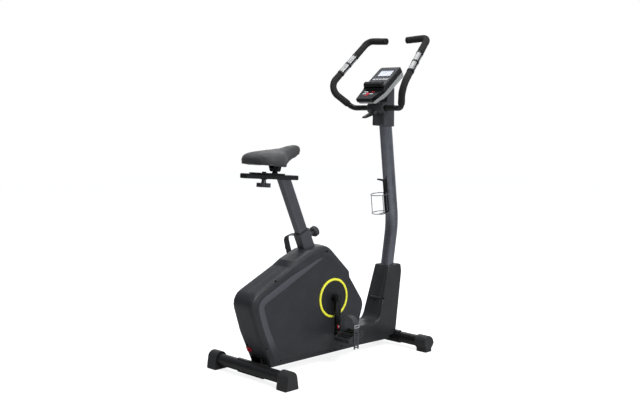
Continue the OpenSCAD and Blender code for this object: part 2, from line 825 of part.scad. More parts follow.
module mast() {
  foot = on3([mast_foot.x - (mast_foot.y - 200) * tan(mast_lean), 200]);
  bend_r = 400;
  neck_r = 250;
  b = on3(mast_bend);
  c = on3(mast_neck);
  e = on3(mast_top);
  ri = mast_r - tube_wall;
  color(graphite) difference() {
    union() {
      tube_link(foot, bend_start(foot, b, c, bend_r), mast_r, ri);
      tube_bend(foot, b, c, bend_r, mast_r, ri);
      tube_link(bend_end(foot, b, c, bend_r), bend_start(b, c, e, neck_r), mast_r, ri);
      tube_bend(b, c, e, neck_r, mast_r, ri);
      tube_link(bend_end(b, c, e, neck_r), e, mast_r, ri);
      // Plate that carries the console.
      at_console() translate([face_len / 2 + 28, 0, -console_deep - 5])
        round_box(56, 50, 4.8, 5);
      // Lug that holds the handlebar.
      rod_y(bar_x, bar_z, lug_r, -lug_half, lug_half);
      translate([bar_x + 8, -14, bar_z - 16])
        cube([mast_neck.x - mast_r + 5 - bar_x - 8, 28, 32]);
    }
    rod_y(bar_x, bar_z, bar_r + run_gap, -far, far);
    at_console() translate([0, -60, -console_deep - 0.2]) cube([200, 120, 100]);
    for (z = mast_bolts)
      translate([mast_foot.x - (mast_foot.y - z) * tan(mast_lean), 0, z])
        rotate([0, mast_lean - 90, 0]) cylinder(r = 4.2, h = mast_r + 4);
  }
}

// Solid block of the two-part cover round the mast's head.
module head_block() {
  intersection() {
    plate(
      outline([
        [front_x - 76, 1018, 6], [front_x + 12, 1012, 6], [front_x + 8, 1060, 60],
        [front_x + 24, 1191, 6], [front_x - 28, 1184, 6], [front_x - 44, 1172, 6], [front_x - 54, 1126, 10],
        [front_x - 74, 1080, 14]
      ]),
      -40, 40
    );
    translate([front_x - 16, 0, 1000]) linear_extrude(far) {
      circle(r = 34);
      translate([-64, -32]) square([64, 64]);
      translate([-60, -34]) square([60, 68]);
    }
  }
}

module head_hollow() {
  b = on3(mast_bend);
  c = on3(mast_neck);
  e = on3(mast_top);
  hole_r = mast_r + 0.5;
  tube_link(bend_end(b, c, e, 250), e, hole_r, 0);
  tube_bend(b, c, e, 250, hole_r, 0);
  tube_link(mix(b, c, 0.85), bend_start(b, c, e, 250), hole_r, 0);
  rod_y(bar_x, bar_z, lug_r + 1, -lug_half - 1, lug_half + 1);
  translate([bar_x, -15, bar_z - 17]) cube([60, 30, 34]);
  rod_y(bar_x, bar_z, bar_r + 0.6, -far, far);
}

head_split = front_x - 46;

module head_cover_front() color(charcoal) difference() {
  head_block();
  head_hollow();
  translate([head_split - far + 0.1, -far / 2, 900]) cube([far, far, far]);
}

module head_cover_rear() color(charcoal) difference() {
  union() {
    intersection() {
      head_block();
      translate([head_split - far - 0.1, -far / 2, 900]) cube([far, far, far]);
    }
    rod_y(bar_x, bar_z, barrel_r, -barrel_half, barrel_half);
    // Ears and pin of the clamp lever.
    for (y = [-13, 9])
      plate(
        [
          [lever_x - 7, lever_z - 3], [lever_x - 2, lever_z - 7], [lever_x + 24, lever_z - 2],
          [lever_x + 12, lever_z + 24], [lever_x - 7, lever_z + 4]
        ],
        y, y + 4
      );
    rod_y(lever_x, lever_z, 3, -13, 13);
  }
  head_hollow();
}

module clamp_lever() color(steel_black) {
  difference() {
    translate([lever_x, 0, lever_z]) rotate([0, -lever_slope, 0]) {
      rod_y(0, 0, 8.5, -8.5, 8.5);
      plate(
        outline([
          [2, -8.4, 1], [2, 8.4, 1], [-lever_len * 0.45, 7, 20], [-lever_len, 3.6, 3],
          [-lever_len - 4, -2, 2], [-lever_len + 6, -5, 4]
        ]),
        -8, 8
      );
    }
    rod_y(lever_x, lever_z, 3 + run_gap, -20, 20);
  }
}

// ---- Bottle holder ----

module at_cage() {
  translate([cage_x, 0, cage_z]) rotate([0, -6.48, 0]) children();
}

module bottle_bracket() color(steel_black) at_cage() difference() {
  union() {
    translate([-5.2, -11, -72]) cube([4.8, 22, 146]);
    // Lower tongue under the bottle and upper hook.
    translate([-46, -10, -76]) cube([45.6, 20, 4.5]);
    plate(
      outline([[-5, 60, 1], [-0.4, 60, 1], [-0.4, 78, 3], [-42, 92, 4], [-46, 86, 2], [-8, 72, 6]]),
      -9, 9
    );
  }
  translate([0.2 + mast_r, 0, -90]) cylinder(r = mast_r + 0.2, h = 200);
}

module bottle_cage() color(bright) at_cage() {
  cx = -9.5 - bottle_r;
  r = bottle_r + wire_r;
  difference() {
    union() {
      for (z = [-66, 20])
        translate([cx, 0, z]) rotate([0, 0, z < 0 ? 0 : 12])
          rotate_extrude(angle = z < 0 ? 360 : 336, $fn = 72) translate([r, 0]) circle(wire_r, $fn = 32);
      for (a = [115, -115])
        translate([cx + r * cos(a), r * sin(a), -66]) cylinder(r = wire_r - 0.3, h = 86, $fn = 32);
    }
    translate([-5.3, -30, -100]) cube([40, 60, 200]);
  }
  for (y = [-8.4, 8.4]) translate([-7.4, y, -66]) cylinder(r = wire_r - 0.3, h = 86, $fn = 32);
}

// ---- Console ----

module console_plan(d) {
  w = console_w / 2;
  linear_extrude(120, center = true) polygon(outline(shrunk([
    [-99, -w + 18, 12], [-16, -w, 40], [face_len, -w, 17],
    [face_len, w, 17], [-16, w, 40], [-99, w - 18, 12]
  ], d)));
}

module console_layer(shape, d) {
  intersection() {
    plate(outline(shape, 4), -console_w, console_w);
    console_plan(d);
  }
}

// Round key on the lower section, square to its sloping face.
module at_select() {
  translate([select_u, select_y, select_w]) rotate([0, select_tilt, 0]) children();
}

module key_pockets() {
  for (i = [-2 : 2])
    translate([key_u, i * key_pitch, -pocket_deep])
      round_box(key_l + 0.6, key_w + 0.6, 20, 1.6);
  at_select() translate([0, 0, -pocket_deep]) cylinder(r = select_r + 0.3, h = 20);
}

module console_front() color(panel_grey) at_console() difference() {
  console_layer([
    [-99, -12, 5], [-90, -21, 6], [-14, -24, 20], [face_len, -20, 3], [face_len, 0, 5],
    [0, 0, 8], [-14, -6.5, 10], [-92, 0, 8]
  ], 0);
  translate([97, 0, -2]) round_box(43, 78, 10, 3);
  key_pockets();
}

module console_back() color(bright) at_console() console_layer([
  [-84, -34, 8], [-30, -console_deep, 20], [face_len - 16, -console_deep, 16],
  [face_len - 1, -20.3, 3], [-14, -24.3, 20], [-88, -21.4, 2]
], 1.2);

module lcd_window() color([0.85, 0.88, 0.95]) at_console()
  translate([97, 0, -1.9]) round_box(42.6, 77.6, 1.7, 2.8);

module reading_lip() color(steel_black) at_console() plate(
  outline([
    [-8, 0.1, 2], [4, 0.1, 2], [4, 8, 3], [14, 13, 2], [12, 19.5, 3], [-3, 17, 8], [-10, 6, 6]
  ]),
  -55, 55
);

module key(i) {
  color(bright) at_console()
    translate([key_u, (i - 3) * key_pitch, key_rise - key_h]) round_box(key_l, key_w, key_h, 1.4);
}

module key_1() key(1);
module key_2() key(2);
module key_3() key(3);
module key_4() key(4);
module key_5() key(5);

module key_select() color(red) at_console() at_select()
  translate([0, 0, key_rise - key_h]) {
    cylinder(r = select_r, h = key_h - 0.8);
    translate([0, 0, key_h - 0.9]) cylinder(r1 = select_r, r2 = select_r - 1, h = 0.9);
  }

// ---- Seat tube and post ----

module seat_tube() color(steel_black) difference() {
  union() {
    at_seat(10) box_tube(sleeve_l, sleeve_w, sleeve_top - 10, sleeve_wall, 7);
    at_seat(pin_s) rotate([0, 90, 0]) translate([0, 0, sleeve_l / 2 - sleeve_wall])
      cylinder(r = pin_boss_r, h = 14 + sleeve_wall);
  }
  rod_y(crank_x, crank_z, bb_r + 0.1, -60, 60);
  at_seat(pin_s) rotate([0, 90, 0]) cylinder(r = pin_r + run_gap, h = 100);
}

module post_bushing() color(charcoal) at_seat(sleeve_top - 90) difference() {
  union() {
    box_tube(bush_l, bush_w, 90, bush_t, 5);
    translate([0, 0, 90.1]) box_tube(sleeve_l, sleeve_w, 4, sleeve_wall + bush_t + 0.1, 7);
    translate([0, 0, 89.9]) box_tube(bush_l, bush_w, 1, bush_t, 5);
  }
  translate([0, 0, pin_s - sleeve_top + 90]) rotate([0, 90, 0]) cylinder(r = pin_r + 0.3, h = 60);
}

module seat_post() color(graphite) {
  hole_pitch = 25;
  difference() {
    union() {
      difference() {
        at_seat(post_bottom) box_tube(post_l, post_w, post_reach - post_bottom + 20, tube_wall, 6);
        // The post ends under the rail.
        at_rail(0) translate([-120, -40, -0.05 - rail_h / 2]) cube([240, 80, 60]);
      }
      at_rail(-rail_back) rotate([0, 90, 0]) box_tube(rail_h, rail_w, rail_len, tube_wall, 6);
    }
    // Slot for the carriage bolt.
    for (z = [-rail_h, 0]) at_rail(0) translate([knob_u - 76, -4.6, z]) cube([146, 9.2, rail_h]);
    // Height holes, one of them in line with the pull pin.
    for (i = [-3 : 6])
      at_seat(pin_s + i * hole_pitch) rotate([0, 90, 0]) translate([0, 0, post_l / 2 - 6])
        cylinder(r = pin_r + 0.3, h = 12);
  }
  // Plugs in the rail's ends: a cap outside and a block inside the tube.
  for (u = [[-rail_back - 2, -rail_back - 0.1], [rail_len - rail_back - 0.3, rail_len - rail_back - 11.9]]) {
    at_rail(u[0]) rotate([0, 90, 0]) round_box(rail_h - 0.5, rail_w - 0.5, 2.3, 5.6);
    at_rail(u[1]) rotate([0, 90, 0])
      round_box(rail_h - 2 * tube_wall - 0.2, rail_w - 2 * tube_wall - 0.2, 12, 3.9);
  }
}

module pull_pin() color(steel_black) at_seat(pin_s) rotate([0, 90, 0]) {
  tip = bush_in_l / 2 + 0.1;
  knob_at = pin_boss_end + 3;
  translate([0, 0, tip]) cylinder(r = pin_r, h = knob_at - tip + 4);
  difference() {
    translate([0, 0, knob_at]) union() {
      cylinder(r1 = 9, r2 = 13, h = 8);
      translate([0, 0, 8]) cylinder(r1 = 18, r2 = 23, h = 6);
      translate([0, 0, 14]) cylinder(r = 23, h = 14);
      translate([0, 0, 28]) cylinder(r1 = 23, r2 = 18, h = 5);
    }
    for (a = [0 : 30 : 330]) rotate([0, 0, a])
      translate([25, 0, knob_at + 6]) cylinder(r = 3.6, h = 30, $fn = 24);
  }
}

module carriage() color(steel_black) {
  at_rail(plate_u) translate([0, 0, rail_h / 2 + part_gap])
    round_box(plate_l, rail_w + 4, plate_t, 8);
  // Bolt that hangs through the rail's slot.
  at_rail(knob_u) {
    translate([0, 0, rail_h / 2 + part_gap + plate_t - 0.1]) cylinder(r = 9, h = 5);
    translate([0, 0, -rail_h / 2 - 22]) cylinder(r = 4, h = rail_h + 24);
  }
  // Stem with the eye of the saddle clamp.
  at_rail(stem_u) difference() {
    union() {
      translate([0, 0, rail_h / 2 + 1]) cylinder(r1 = 15, r2 = 11, h = 8);
      translate([0, 0, rail_h / 2 + 1]) cylinder(r = 11, h = pivot_up - rail_h / 2 - 4);
      rod_y(0, pivot_up, 12, -14, 14);
    }
    rod_y(0, pivot_up, 6 + run_gap, -20, 20);
  }
}

module carriage_knob() color(steel_black) at_rail(knob_u)
  translate([0, 0, -rail_h / 2 - part_gap]) rotate([180, 0, 0]) difference() {
    union() {
      cylinder(r = 14, h = 2);
      translate([0, 0, 2]) cylinder(r1 = 8, r2 = 11, h = 14);
      translate([0, 0, 16]) linear_extrude(knob_h) difference() {
        circle(knob_d / 2 - 1);
        for (a = [0 : 60 : 300]) rotate(a) translate([knob_d / 2 + 5, 0]) circle(9, $fn = 32);
      }
    }
    translate([0, 0, -1]) cylinder(r = 4 + run_gap, h = 24);
  }

module saddle_clamp() color(steel_black) at_rail(stem_u) rotate([0, -rail_tilt, 0]) {
  // Side plates, cross bolt with nuts, top plate under the saddle.
  c = [pivot_up * sin(rail_tilt), pivot_up * cos(rail_tilt)];
  translate([c.x, 0, c.y]) {
    for (s = [-1, 1]) {
      plate(
        outline([[-13, -12, 8], [13, -12, 8], [22, 20, 3], [-22, 20, 3]]),
        s > 0 ? 14.4 : -18.4, s > 0 ? 18.4 : -14.4
      );
      rod_y(0, 0, 10, s > 0 ? 18.3 : -23, s > 0 ? 23 : -18.3);
    }
    rod_y(0, 0, 6, -24, 24);
    translate([-32, -20, 14.5]) cube([64, 40, 5.5]);
  }
}

// Half width of the saddle at the share s of its length from the rear.
function saddle_half(s) =
  let (wing = pow(sin(min(90, 30 + s * 240)), 1.2), taper = smooth((s - 0.28) / 0.42))
  mix(saddle_w / 2 * wing, 27 + 5 * (1 - s), taper) * sqrt(max(0.05, 1 - pow(max(0, (s - 0.93) / 0.085), 2)));
function saddle_top(s) = 50 + 4 * sin(180 * min(1, s * 1.2)) + 24 * pow(s, 2);
function saddle_low(s) = 1.8 + 20 * pow(abs(s - 0.49) / 0.51, 2) + 4 * smooth((0.25 - s) / 0.25);

module saddle() {
  n = 28;
  m = 18;
  color(panel_grey) translate([saddle_x, 0, saddle_z]) loft([
    for (i = [0 : m])
      let (s = (1 - cos(i / m * 180)) / 2, w = saddle_half(s), lo = saddle_low(s), hi = saddle_top(s),
           e = i == 0 || i == m ? 0.55 : 1, mid = (lo + hi) / 2, hh = (hi - lo) / 2 * e)
        [
          for (j = [0 : n - 1])
            let (a = j * 360 / n, c = cos(a), q = sin(a))
              [s * saddle_len, w * e * sign(c) * pow(abs(c), 0.6), mid + hh * sign(q) * pow(abs(q), 0.7)]
        ]
  ]);
}

// ---- Drive ----

module crank_bearings() color(bright) for (s = [-1, 1])
  ring_y(crank_x, crank_z, bb_bore - 0.02, axle_r + run_gap, s > 0 ? bb_half - 12 : -bb_half, s > 0 ? bb_half : -bb_half + 12);

module crank_axle() color(bright) difference() {
  union() {
    rod_y(crank_x, crank_z, axle_r, -arm_y - 10, arm_y + 10);
    rod_y(crank_x, crank_z, axle_r + 4, bb_half + 0.3, bb_half + 2);
    rod_y(crank_x, crank_z, axle_r + 4, -bb_half - 2, -bb_half - 0.3);
    for (s = [-1, 1]) rod_y(crank_x, crank_z, 5, s > 0 ? 90 : -103, s > 0 ? 103 : -90);
    for (s = [-1, 1]) rod_y(crank_x, crank_z, 10, s > 0 ? 101.2 : -104, s > 0 ? 104 : -101.2);
  }
  for (s = [-1, 1]) translate([crank_x, s * 104, crank_z]) rotate([90, 0, 0])
    cylinder(r = 4, h = 5, center = true, $fn = 6);
}

module drive_pulley() color(charcoal) {
  w = belt_w / 2 + 1;
  rib = 2;
  translate([crank_x, belt_y, crank_z]) rotate([90, 0, 0]) difference() {
    union() {
      rotate_extrude($fn = 128) union() {
        translate([axle_r + 0.02, -w]) square([12, 2 * w]);
        translate([axle_r + 8, -2]) square([pulley_r - axle_r - 14, 4]);
        polygon([
          [pulley_r - 8, -w], [pulley_r + 1.2, -w], [pulley_r + 1.2, -w + 0.8], [pulley_r, -w + 0.8],
          for (i = [-2 : 2]) each [[pulley_r, (i - 0.35) * rib], [pulley_r - 1.2, i * rib], [pulley_r, (i + 0.35) * rib]],
          [pulley_r, w - 0.8], [pulley_r + 1.2, w - 0.8], [pulley_r + 1.2, w], [pulley_r - 8, w]
        ]);
      }
    }
    for (a = [30 : 60 : 330]) rotate(a) translate([pulley_r * 0.6, 0, -10]) cylinder(r = 20, h = 20);
  }
}

// Belt: tangents of the two pulleys, as seen from the right side.
belt_d = [fly_x - crank_x, fly_z - crank_z];
belt_len = norm(belt_d);
belt_dir = atan2(belt_d.y, belt_d.x);
belt_open = acos((pulley_r - pinion_r) / belt_len);

function belt_loop(grow) = [
  for (i = [0 : 30])
    let (a = belt_dir + belt_open + i / 30 * (360 - 2 * belt_open))
      [crank_x, crank_z] + (pulley_r + grow) / cos(180 / 60) * [cos(a), sin(a)],
  for (i = [0 : 10])
    let (a = belt_dir - belt_open + i / 10 * 2 * belt_open)
      [fly_x, fly_z] + (pinion_r + grow) / cos(180 / 40) * [cos(a), sin(a)]
];

// Height of the belt's lower inner face at x.
function belt_under(x) =
  let (
    a = belt_dir + belt_open, n = [cos(a), sin(a)],
    p = [crank_x, crank_z] + (pulley_r + belt_gap) * n
  )
  p.y - (x - p.x) * n.x / n.y;

module drive_belt() color(foam) translate([0, belt_y + belt_w / 2, 0]) rotate([90, 0, 0])
  linear_extrude(belt_w) difference() {
    polygon(belt_loop(belt_gap + belt_t));
    polygon(belt_loop(belt_gap));
  }

module flywheel() color(graphite) {
  rim = 24;
  hub = 13;
  top = belt_y + belt_w / 2 + 1;
  translate([fly_x, 0, fly_z]) rotate([-90, 0, 0]) difference() {
    rotate_extrude($fn = 128) polygon([
      [fly_axle_r + run_gap, -20], [22, -20], [22, -4], [flywheel_r - rim, -4], [flywheel_r - rim, -13],
      [flywheel_r, -13], [flywheel_r, 13], [flywheel_r - rim, 13], [flywheel_r - rim, 4], [22, 4], [22, 20],
      [hub, 20], [hub, belt_y - belt_w / 2 - 2], [pinion_r + 1.2, belt_y - belt_w / 2 - 2],
      [pinion_r + 1.2, belt_y - belt_w / 2 - 1], [pinion_r, belt_y - belt_w / 2 - 1],
      for (i = [-2 : 2]) each [
        [pinion_r, belt_y + (i - 0.35) * 2], [pinion_r - 1, belt_y + i * 2], [pinion_r, belt_y + (i + 0.35) * 2]
      ],
      [pinion_r, top], [pinion_r + 1.2, top], [pinion_r + 1.2, top + 1], [fly_axle_r + run_gap, top + 1]
    ]);
    for (a = [0 : 72 : 288]) rotate(a) translate([64, 0, -10]) cylinder(r = 18, h = 20);
  }
}

module flywheel_axle() color(bright) difference() {
  union() {
    rod_y(fly_x, fly_z, fly_axle_r, -fork_right_y - fork_t - 9, fork_left_y + 3);
    rod_y(fly_x, fly_z, 9, -fork_right_y - fork_t - 5, -fork_right_y - fork_t - 0.1);
    rod_y(fly_x, fly_z, 8, -fork_right_y + 0.1, -20.4);
    rod_y(fly_x, fly_z, 8, belt_y + belt_w / 2 + 2.4, fork_left_y - fork_t - 0.1);
  }
}

module belt_idler() color(charcoal) {
  z = belt_under(idler_x) - belt_t - belt_gap - idler_r;
  translate([idler_x, belt_y, z]) rotate([90, 0, 0]) rotate_extrude() difference() {
    translate([5 + run_gap, -belt_w / 2 - 1.5]) square([idler_r - 5 - run_gap, belt_w + 3]);
    for (s = [-1, 1]) translate([8.5, s * (belt_w / 2 + 1.5) - 2]) square([5, 4]);
  }
}

module magnet_bracket() color(steel_black) {
  r0 = flywheel_r + magnet_gap;
  a0 = 96;
  a1 = 150;
  difference() {
    union() {
      plate(
        [
          for (i = [0 : 12]) let (a = mix(a0, a1, i / 12)) [fly_x, fly_z] + (r0 + magnet_t) * [cos(a), sin(a)],
          for (i = [12 : -1 : 0]) let (a = mix(a0, a1, i / 12)) [fly_x, fly_z] + (r0 + magnet_t + 3) * [cos(a), sin(a)]
        ],
        -15, 15
      );
      // Arm to the pivot, and the magnets on its inner face.
      plate(
        [
          [pivot_x - 2, pivot_z - 8], [pivot_x + 6, pivot_z + 4], [pivot_x - 2, pivot_z + 8],
          [fly_x, fly_z] + (r0 + magnet_t + 5) * [cos(a0 + 8), sin(a0 + 8)],
          [fly_x, fly_z] + (r0 + magnet_t) * [cos(a0 + 8), sin(a0 + 8)],
          [fly_x, fly_z] + (r0 + magnet_t) * [cos(a0), sin(a0)]
        ],
        -15, -10
      );
      rod_y(pivot_x, pivot_z, 8, -24, 20);
      for (i = [0 : 5])
        translate([fly_x, 0, fly_z]) rotate([0, -(a0 + 5 + i * 9), 0])
          translate([r0, -12, -7]) cube([magnet_t + 1, 24, 14]);
    }
    rod_y(pivot_x, pivot_z, pivot_r + run_gap, -40, 40);
  }
}

module tension_motor() color(charcoal) {
  x = crank_x - 70;
  difference() {
    union() {
      translate([x - 24, -54, beam_top + 30]) cube([48, 22, 60]);
      translate([x, -32, beam_top + 76]) rotate([-90, 0, 0]) cylinder(r = 10, h = 3);
      translate([x - 14, -38, beam_lo + 6]) cube([28, 7.9, beam_top + 25 - beam_lo]);
    }
    translate([x, -34, beam_top + 76]) rotate([-90, 0, 0]) cylinder(r = 3, h = 20);
  }
}

// ---- Cranks and pedals, built for the right side with the crank down ----

module crank_arm() {
  z = -crank_len;
  difference() {
    union() {
      rod_y(0, 0, 19, -arm_y - arm_t - 2, -arm_y + 6);
      // Dust cap over the head of the axle's bolt.
      rod_y(0, 0, 13.5, -arm_y - arm_t - 6.5, -arm_y - arm_t - 1.9);
      rod_y(0, 0, 11.5, -arm_y - arm_t - 7.5, -arm_y - arm_t - 6.4);
      rod_y(0, z, 16, -arm_y - arm_t - 5, -arm_y);
      plate(
        outline([
          [-16, -2, 2], [-12.5, z + 2, 2], [12.5, z + 2, 2], [16, -2, 2], [13, 6, 3], [-13, 6, 3]
        ], 3),
        -arm_y - arm_t, -arm_y
      );
    }
    rod_y(0, 0, axle_r + 0.02, -arm_y - 10.2, 0);
    rod_y(0, 0, 5.1, -arm_y - arm_t - 3, 0);
    rod_y(0, 0, 10.3, -arm_y - arm_t - 5.5, -arm_y - arm_t - 2);
    rod_y(0, z, spindle_r + 0.02, -far, 0);
    // Groove down the outer face.
    plate(outline([[-6, -26, 4], [-4.5, z + 24, 3], [4.5, z + 24, 3], [6, -26, 4]], 3), -arm_y - arm_t - 3, -arm_y - arm_t + 1.5);
  }
}

module right_side() translate([crank_x, 0, crank_z]) children();

module crank_right() color(steel_black) right_side() crank_arm();

module crank_left() color(steel_black) translate([crank_x, 0, crank_z]) mirror([0, 1, 0]) mirror([0, 0, 1]) crank_arm();

module spindle(z) {
  rod_y(0, z, spindle_r, -pedal_out + 8, -arm_y - 1);
  rod_y(0, z, 10.5, -pedal_in + 3.5, -arm_y - arm_t - 5.1);
}

module pedal_spindles() color(bright) {
  right_side() spindle(-crank_len);
  translate([crank_x, 0, crank_z]) mirror([0, 1, 0]) spindle(crank_len);
}

// Pedal about its spindle; x forward, z up, for the right side.
module pedal_body() {
  cheek = outline([[-47, -11, 6], [-30, -15, 10], [30, -15, 10], [47, -11, 6], [47, 9, 6], [20, 12, 20], [-20, 12, 20], [-47, 9, 6]], 3);
  t = 4;
  difference() {
    union() {
      plate(cheek, -pedal_in - t, -pedal_in);
      plate(cheek, -pedal_out, -pedal_out + t);
      for (s = [-1, 1]) {
        translate([s * 41 - 5, -pedal_out + 1, -10]) cube([10, pedal_out - pedal_in - 2, 17]);
        translate([s * 22 - 2, -pedal_out + 1, -11]) cube([4, pedal_out - pedal_in - 2, 18]);
        // Tread teeth on the front and rear bars.
        for (i = [0 : 6])
          translate([s * 41 - 5, -pedal_out + 9 + i * 10.6, 6.5]) cube([10, 5, 3]);
      }
      rod_y(0, 0, 12, -pedal_out + 1, -pedal_in - 1);
      for (y = [-pedal_in - 30, -pedal_in - 58])
        translate([-40, y, -9]) cube([80, 3.5, 14]);
      // Counterweight below the spindle.
      translate([-20, -pedal_out + 10, -17]) cube([40, pedal_out - pedal_in - 20, 7]);
      // Strap pegs.
      for (x = [-12.5, 12.5]) rod_y(x, 0, 2.4, -pedal_in - 1, -pedal_in + 3.4);
    }
    rod_y(0, 0, spindle_r + run_gap, -pedal_out + 5, 0);
  }
}

strap_t = 2.4;
strap_w = 34;

// Band from the inner cheek over the foot and down past the outer cheek.
module strap_band(strap_top) {
  y0 = -pedal_in + 0.3 + strap_t;
  y1 = -pedal_out - 0.3 - strap_t;
  w = y0 - y1;
  r = 36;
  translate([-strap_w / 2, 0, 0]) difference() {
    union() {
      rotate([90, 0, 90]) linear_extrude(strap_w) difference() {
        translate([(y0 + y1) / 2, strap_top / 2]) round_rect(w, strap_top, r);
        translate([(y0 + y1) / 2, strap_top / 2]) round_rect(w - 2 * strap_t, strap_top - 2 * strap_t, r - strap_t);
        translate([y1 - 5, -20]) square([w + 10, 60]);
      }
      translate([0, y0 - strap_t, -16]) cube([strap_w, strap_t, 56.5]);
      translate([0, y1, -50]) cube([strap_w, strap_t, 90.5]);
      // Buckle that grips the free end.
      translate([-3, y1 - 3, 38]) cube([strap_w + 6, 3.1, 10]);
    }
    for (z = [-42 : 11 : 27]) translate([9, y1 - 1, z]) cube([strap_w - 18, strap_t + 2, 4.5]);
    translate([strap_w / 2, 0, 0]) {
      rod_y(0, 0, 8.5, -pedal_in - 5, -pedal_in + 9);
      for (x = [-12.5, 12.5]) rod_y(x, 0, 2.7, -pedal_in - 5, -pedal_in + 9);
    }
  }
}

module pedal_right() color(steel_black) right_side()
  translate([0, 0, -crank_len]) rotate([0, -pedal_tilt, 0]) pedal_body();

module strap_right() color(charcoal) right_side()
  translate([0, 0, -crank_len]) rotate([0, -pedal_tilt, 0]) strap_band(86);

module pedal_left() color(steel_black) translate([crank_x, 0, crank_z + crank_len])
  mirror([0, 1, 0]) rotate([0, -pedal_tilt, 0]) pedal_body();

module strap_left() color(charcoal) translate([crank_x, 0, crank_z + crank_len])
  mirror([0, 1, 0]) rotate([0, -pedal_tilt, 0]) strap_band(110);

// ---- Handlebar ----

function flip(p) = [p.x, -p.y, p.z];
bar_mid = [bar_x, 0, bar_z];
flat_bend = 120;
c1 = bar_pts[0][0];
c2 = bar_pts[1][0];
c3 = bar_pts[2][0];
r1 = bar_pts[0][1];
r2 = bar_pts[1][1];
r3 = bar_pts[2][1];
flat_end = [bar_x, 84, bar_z];
grip_a = bend_end(flat_end, c1, c2, r1) + 4 * unit(c2 - c1);
grip_b = bend_end(c1, c2, c3, r2) + 36 * unit(c3 - c2);
grip_c = grip_b + 122 * unit(c3 - c2);
grip_d_end = bar_end - 3 * unit(bar_end - c3);

module both() {
  children();
  mirror([0, 1, 0]) children();
}

module handlebar() color(charcoal) {
  ri = bar_r - tube_wall;
  flat_to = bend_start(bar_mid, flat_end, c1, flat_bend);
  tube_link(flip(flat_to), flat_to, bar_r, ri);
  both() {
    tube_bend(bar_mid, flat_end, c1, flat_bend, bar_r, ri);
    tube_link(bend_end(bar_mid, flat_end, c1, flat_bend), bend_start(flat_end, c1, c2, r1), bar_r, ri);
    tube_bend(flat_end, c1, c2, r1, bar_r, ri);
    tube_link(bend_end(flat_end, c1, c2, r1), bend_start(c1, c2, c3, r2), bar_r, ri);
    tube_bend(c1, c2, c3, r2, bar_r, ri);
    tube_link(bend_end(c1, c2, c3, r2), bend_start(c2, c3, bar_end, r3), bar_r, ri);
    tube_bend(c2, c3, bar_end, r3, bar_r, ri);
    tube_link(bend_end(c2, c3, bar_end, r3), bar_end, bar_r, ri);
  }
}

module handlebar_grips() color(foam) both() {
  ri = bar_r + 0.1;
  tube_link(grip_a, bend_start(c1, c2, c3, r2), grip_r, ri);
  tube_bend(c1, c2, c3, r2, grip_r, ri);
  tube_link(bend_end(c1, c2, c3, r2), grip_b - sensor_dir, grip_r, ri);
  tube_link(grip_c + sensor_dir, bend_start(c2, c3, bar_end, r3), grip_r, ri);
  tube_bend(c2, c3, bar_end, r3, grip_r, ri);
  tube_link(bend_end(c2, c3, bar_end, r3), grip_d_end, grip_r, ri);
  tube_line(bar_end + 1.2 * unit(bar_end - c3), bar_end + 4 * unit(bar_end - c3), grip_r, 0);
}

collar_w = 9;
sensor_dir = unit(c3 - c2);

module sensor_collars() color(steel_black) both()
  for (k = [0, 0.5, 1])
    let (p = mix(grip_b + 0.3 * sensor_dir, grip_c - (collar_w + 0.3) * sensor_dir, k))
      tube_line(p, p + collar_w * sensor_dir, grip_r + 1.2, bar_r + 0.1);

// Bright contact plates on the upper and lower half between the collars.
module pulse_sensors() color(bright) both() {
  gap = (norm(grip_c - grip_b) - 0.6 - 3 * collar_w) / 2;
  for (k = [0, 1]) {
    p = grip_b + (0.3 + collar_w + k * (gap + collar_w) + 0.3) * sensor_dir;
    frame_at(p, unit(cross([0, 1, 0], sensor_dir)), sensor_dir)
      for (a = [-70, 110])
        rotate(a) rotate_extrude(angle = 140) translate([bar_r + 0.1, 0]) square([grip_r - bar_r, gap - 0.6]);
  }
}

// ---- Power inlet and switch ----

module power_inlet() color(charcoal) at_switch() {
  difference() {
    translate([0, 0, -11]) round_box(switch_w + 3.8, switch_l + 3.8, 12, 1.5);
    translate([0, 0, -9]) round_box(switch_w + 1.4, switch_l + 1.4, 20, 1);
  }
  difference() {
    translate([22, 6, -11]) cylinder(r = 6, h = 12);
    translate([22, 6, -6]) cylinder(r = 3, h = 20);
  }
  translate([22, 6, -7]) cylinder(r = 1, h = 6);
  // Pin of the rocker.
  translate([0, 0, -1]) rotate([0, 90, 0])
    cylinder(r = switch_pin, h = switch_w + 2, center = true);
}

module power_switch() color(red) at_switch() translate([0, 0, -1]) rotate([switch_rest, 0, 0]) difference() {
  union() {
    translate([-switch_w / 2, -switch_l / 2 + 0.6, -2.5]) cube([switch_w, switch_l - 1.2, 6]);
    rotate([0, 90, 0]) cylinder(r = 4.5, h = switch_w, center = true);
  }
  translate([0, 0, 34]) rotate([0, 90, 0]) cylinder(r = 31.5, h = 40, center = true, $fn = 96);
  rotate([0, 90, 0]) cylinder(r = switch_pin + run_gap, h = 40, center = true);
}

base_frame();
seat_tube();
rear_stabilizer();
front_stabilizer();
rear_caps();
front_caps();
fasteners();
housing_left();
housing_right();
disc_covers();
disc_rings();
boot_left();
boot_right();
mast();
head_cover_front();
head_cover_rear();
bottle_bracket();
bottle_cage();
console_front();
console_back();
lcd_window();
reading_lip();
post_bushing();
crank_bearings();
flywheel_axle();
power_inlet();
tension_motor();
drive_belt();
crank_axle();
drive_pulley();
crank_left();
crank_right();
pedal_spindles();
pedal_left();
pedal_right();
strap_left();
strap_right();
flywheel();
magnet_bracket();
belt_idler();
seat_post();
pull_pin();
carriage();
carriage_knob();
saddle_clamp();
saddle();
handlebar();
handlebar_grips();
pulse_sensors();
sensor_collars();
clamp_lever();
key_1();
key_2();
key_3();
key_4();
key_5();
key_select();
power_switch();
transport_wheel_left();
transport_wheel_right();
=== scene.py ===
import json
import math

import bmesh
import bpy
from mathutils import Matrix, Vector
from mathutils.bvhtree import BVHTree


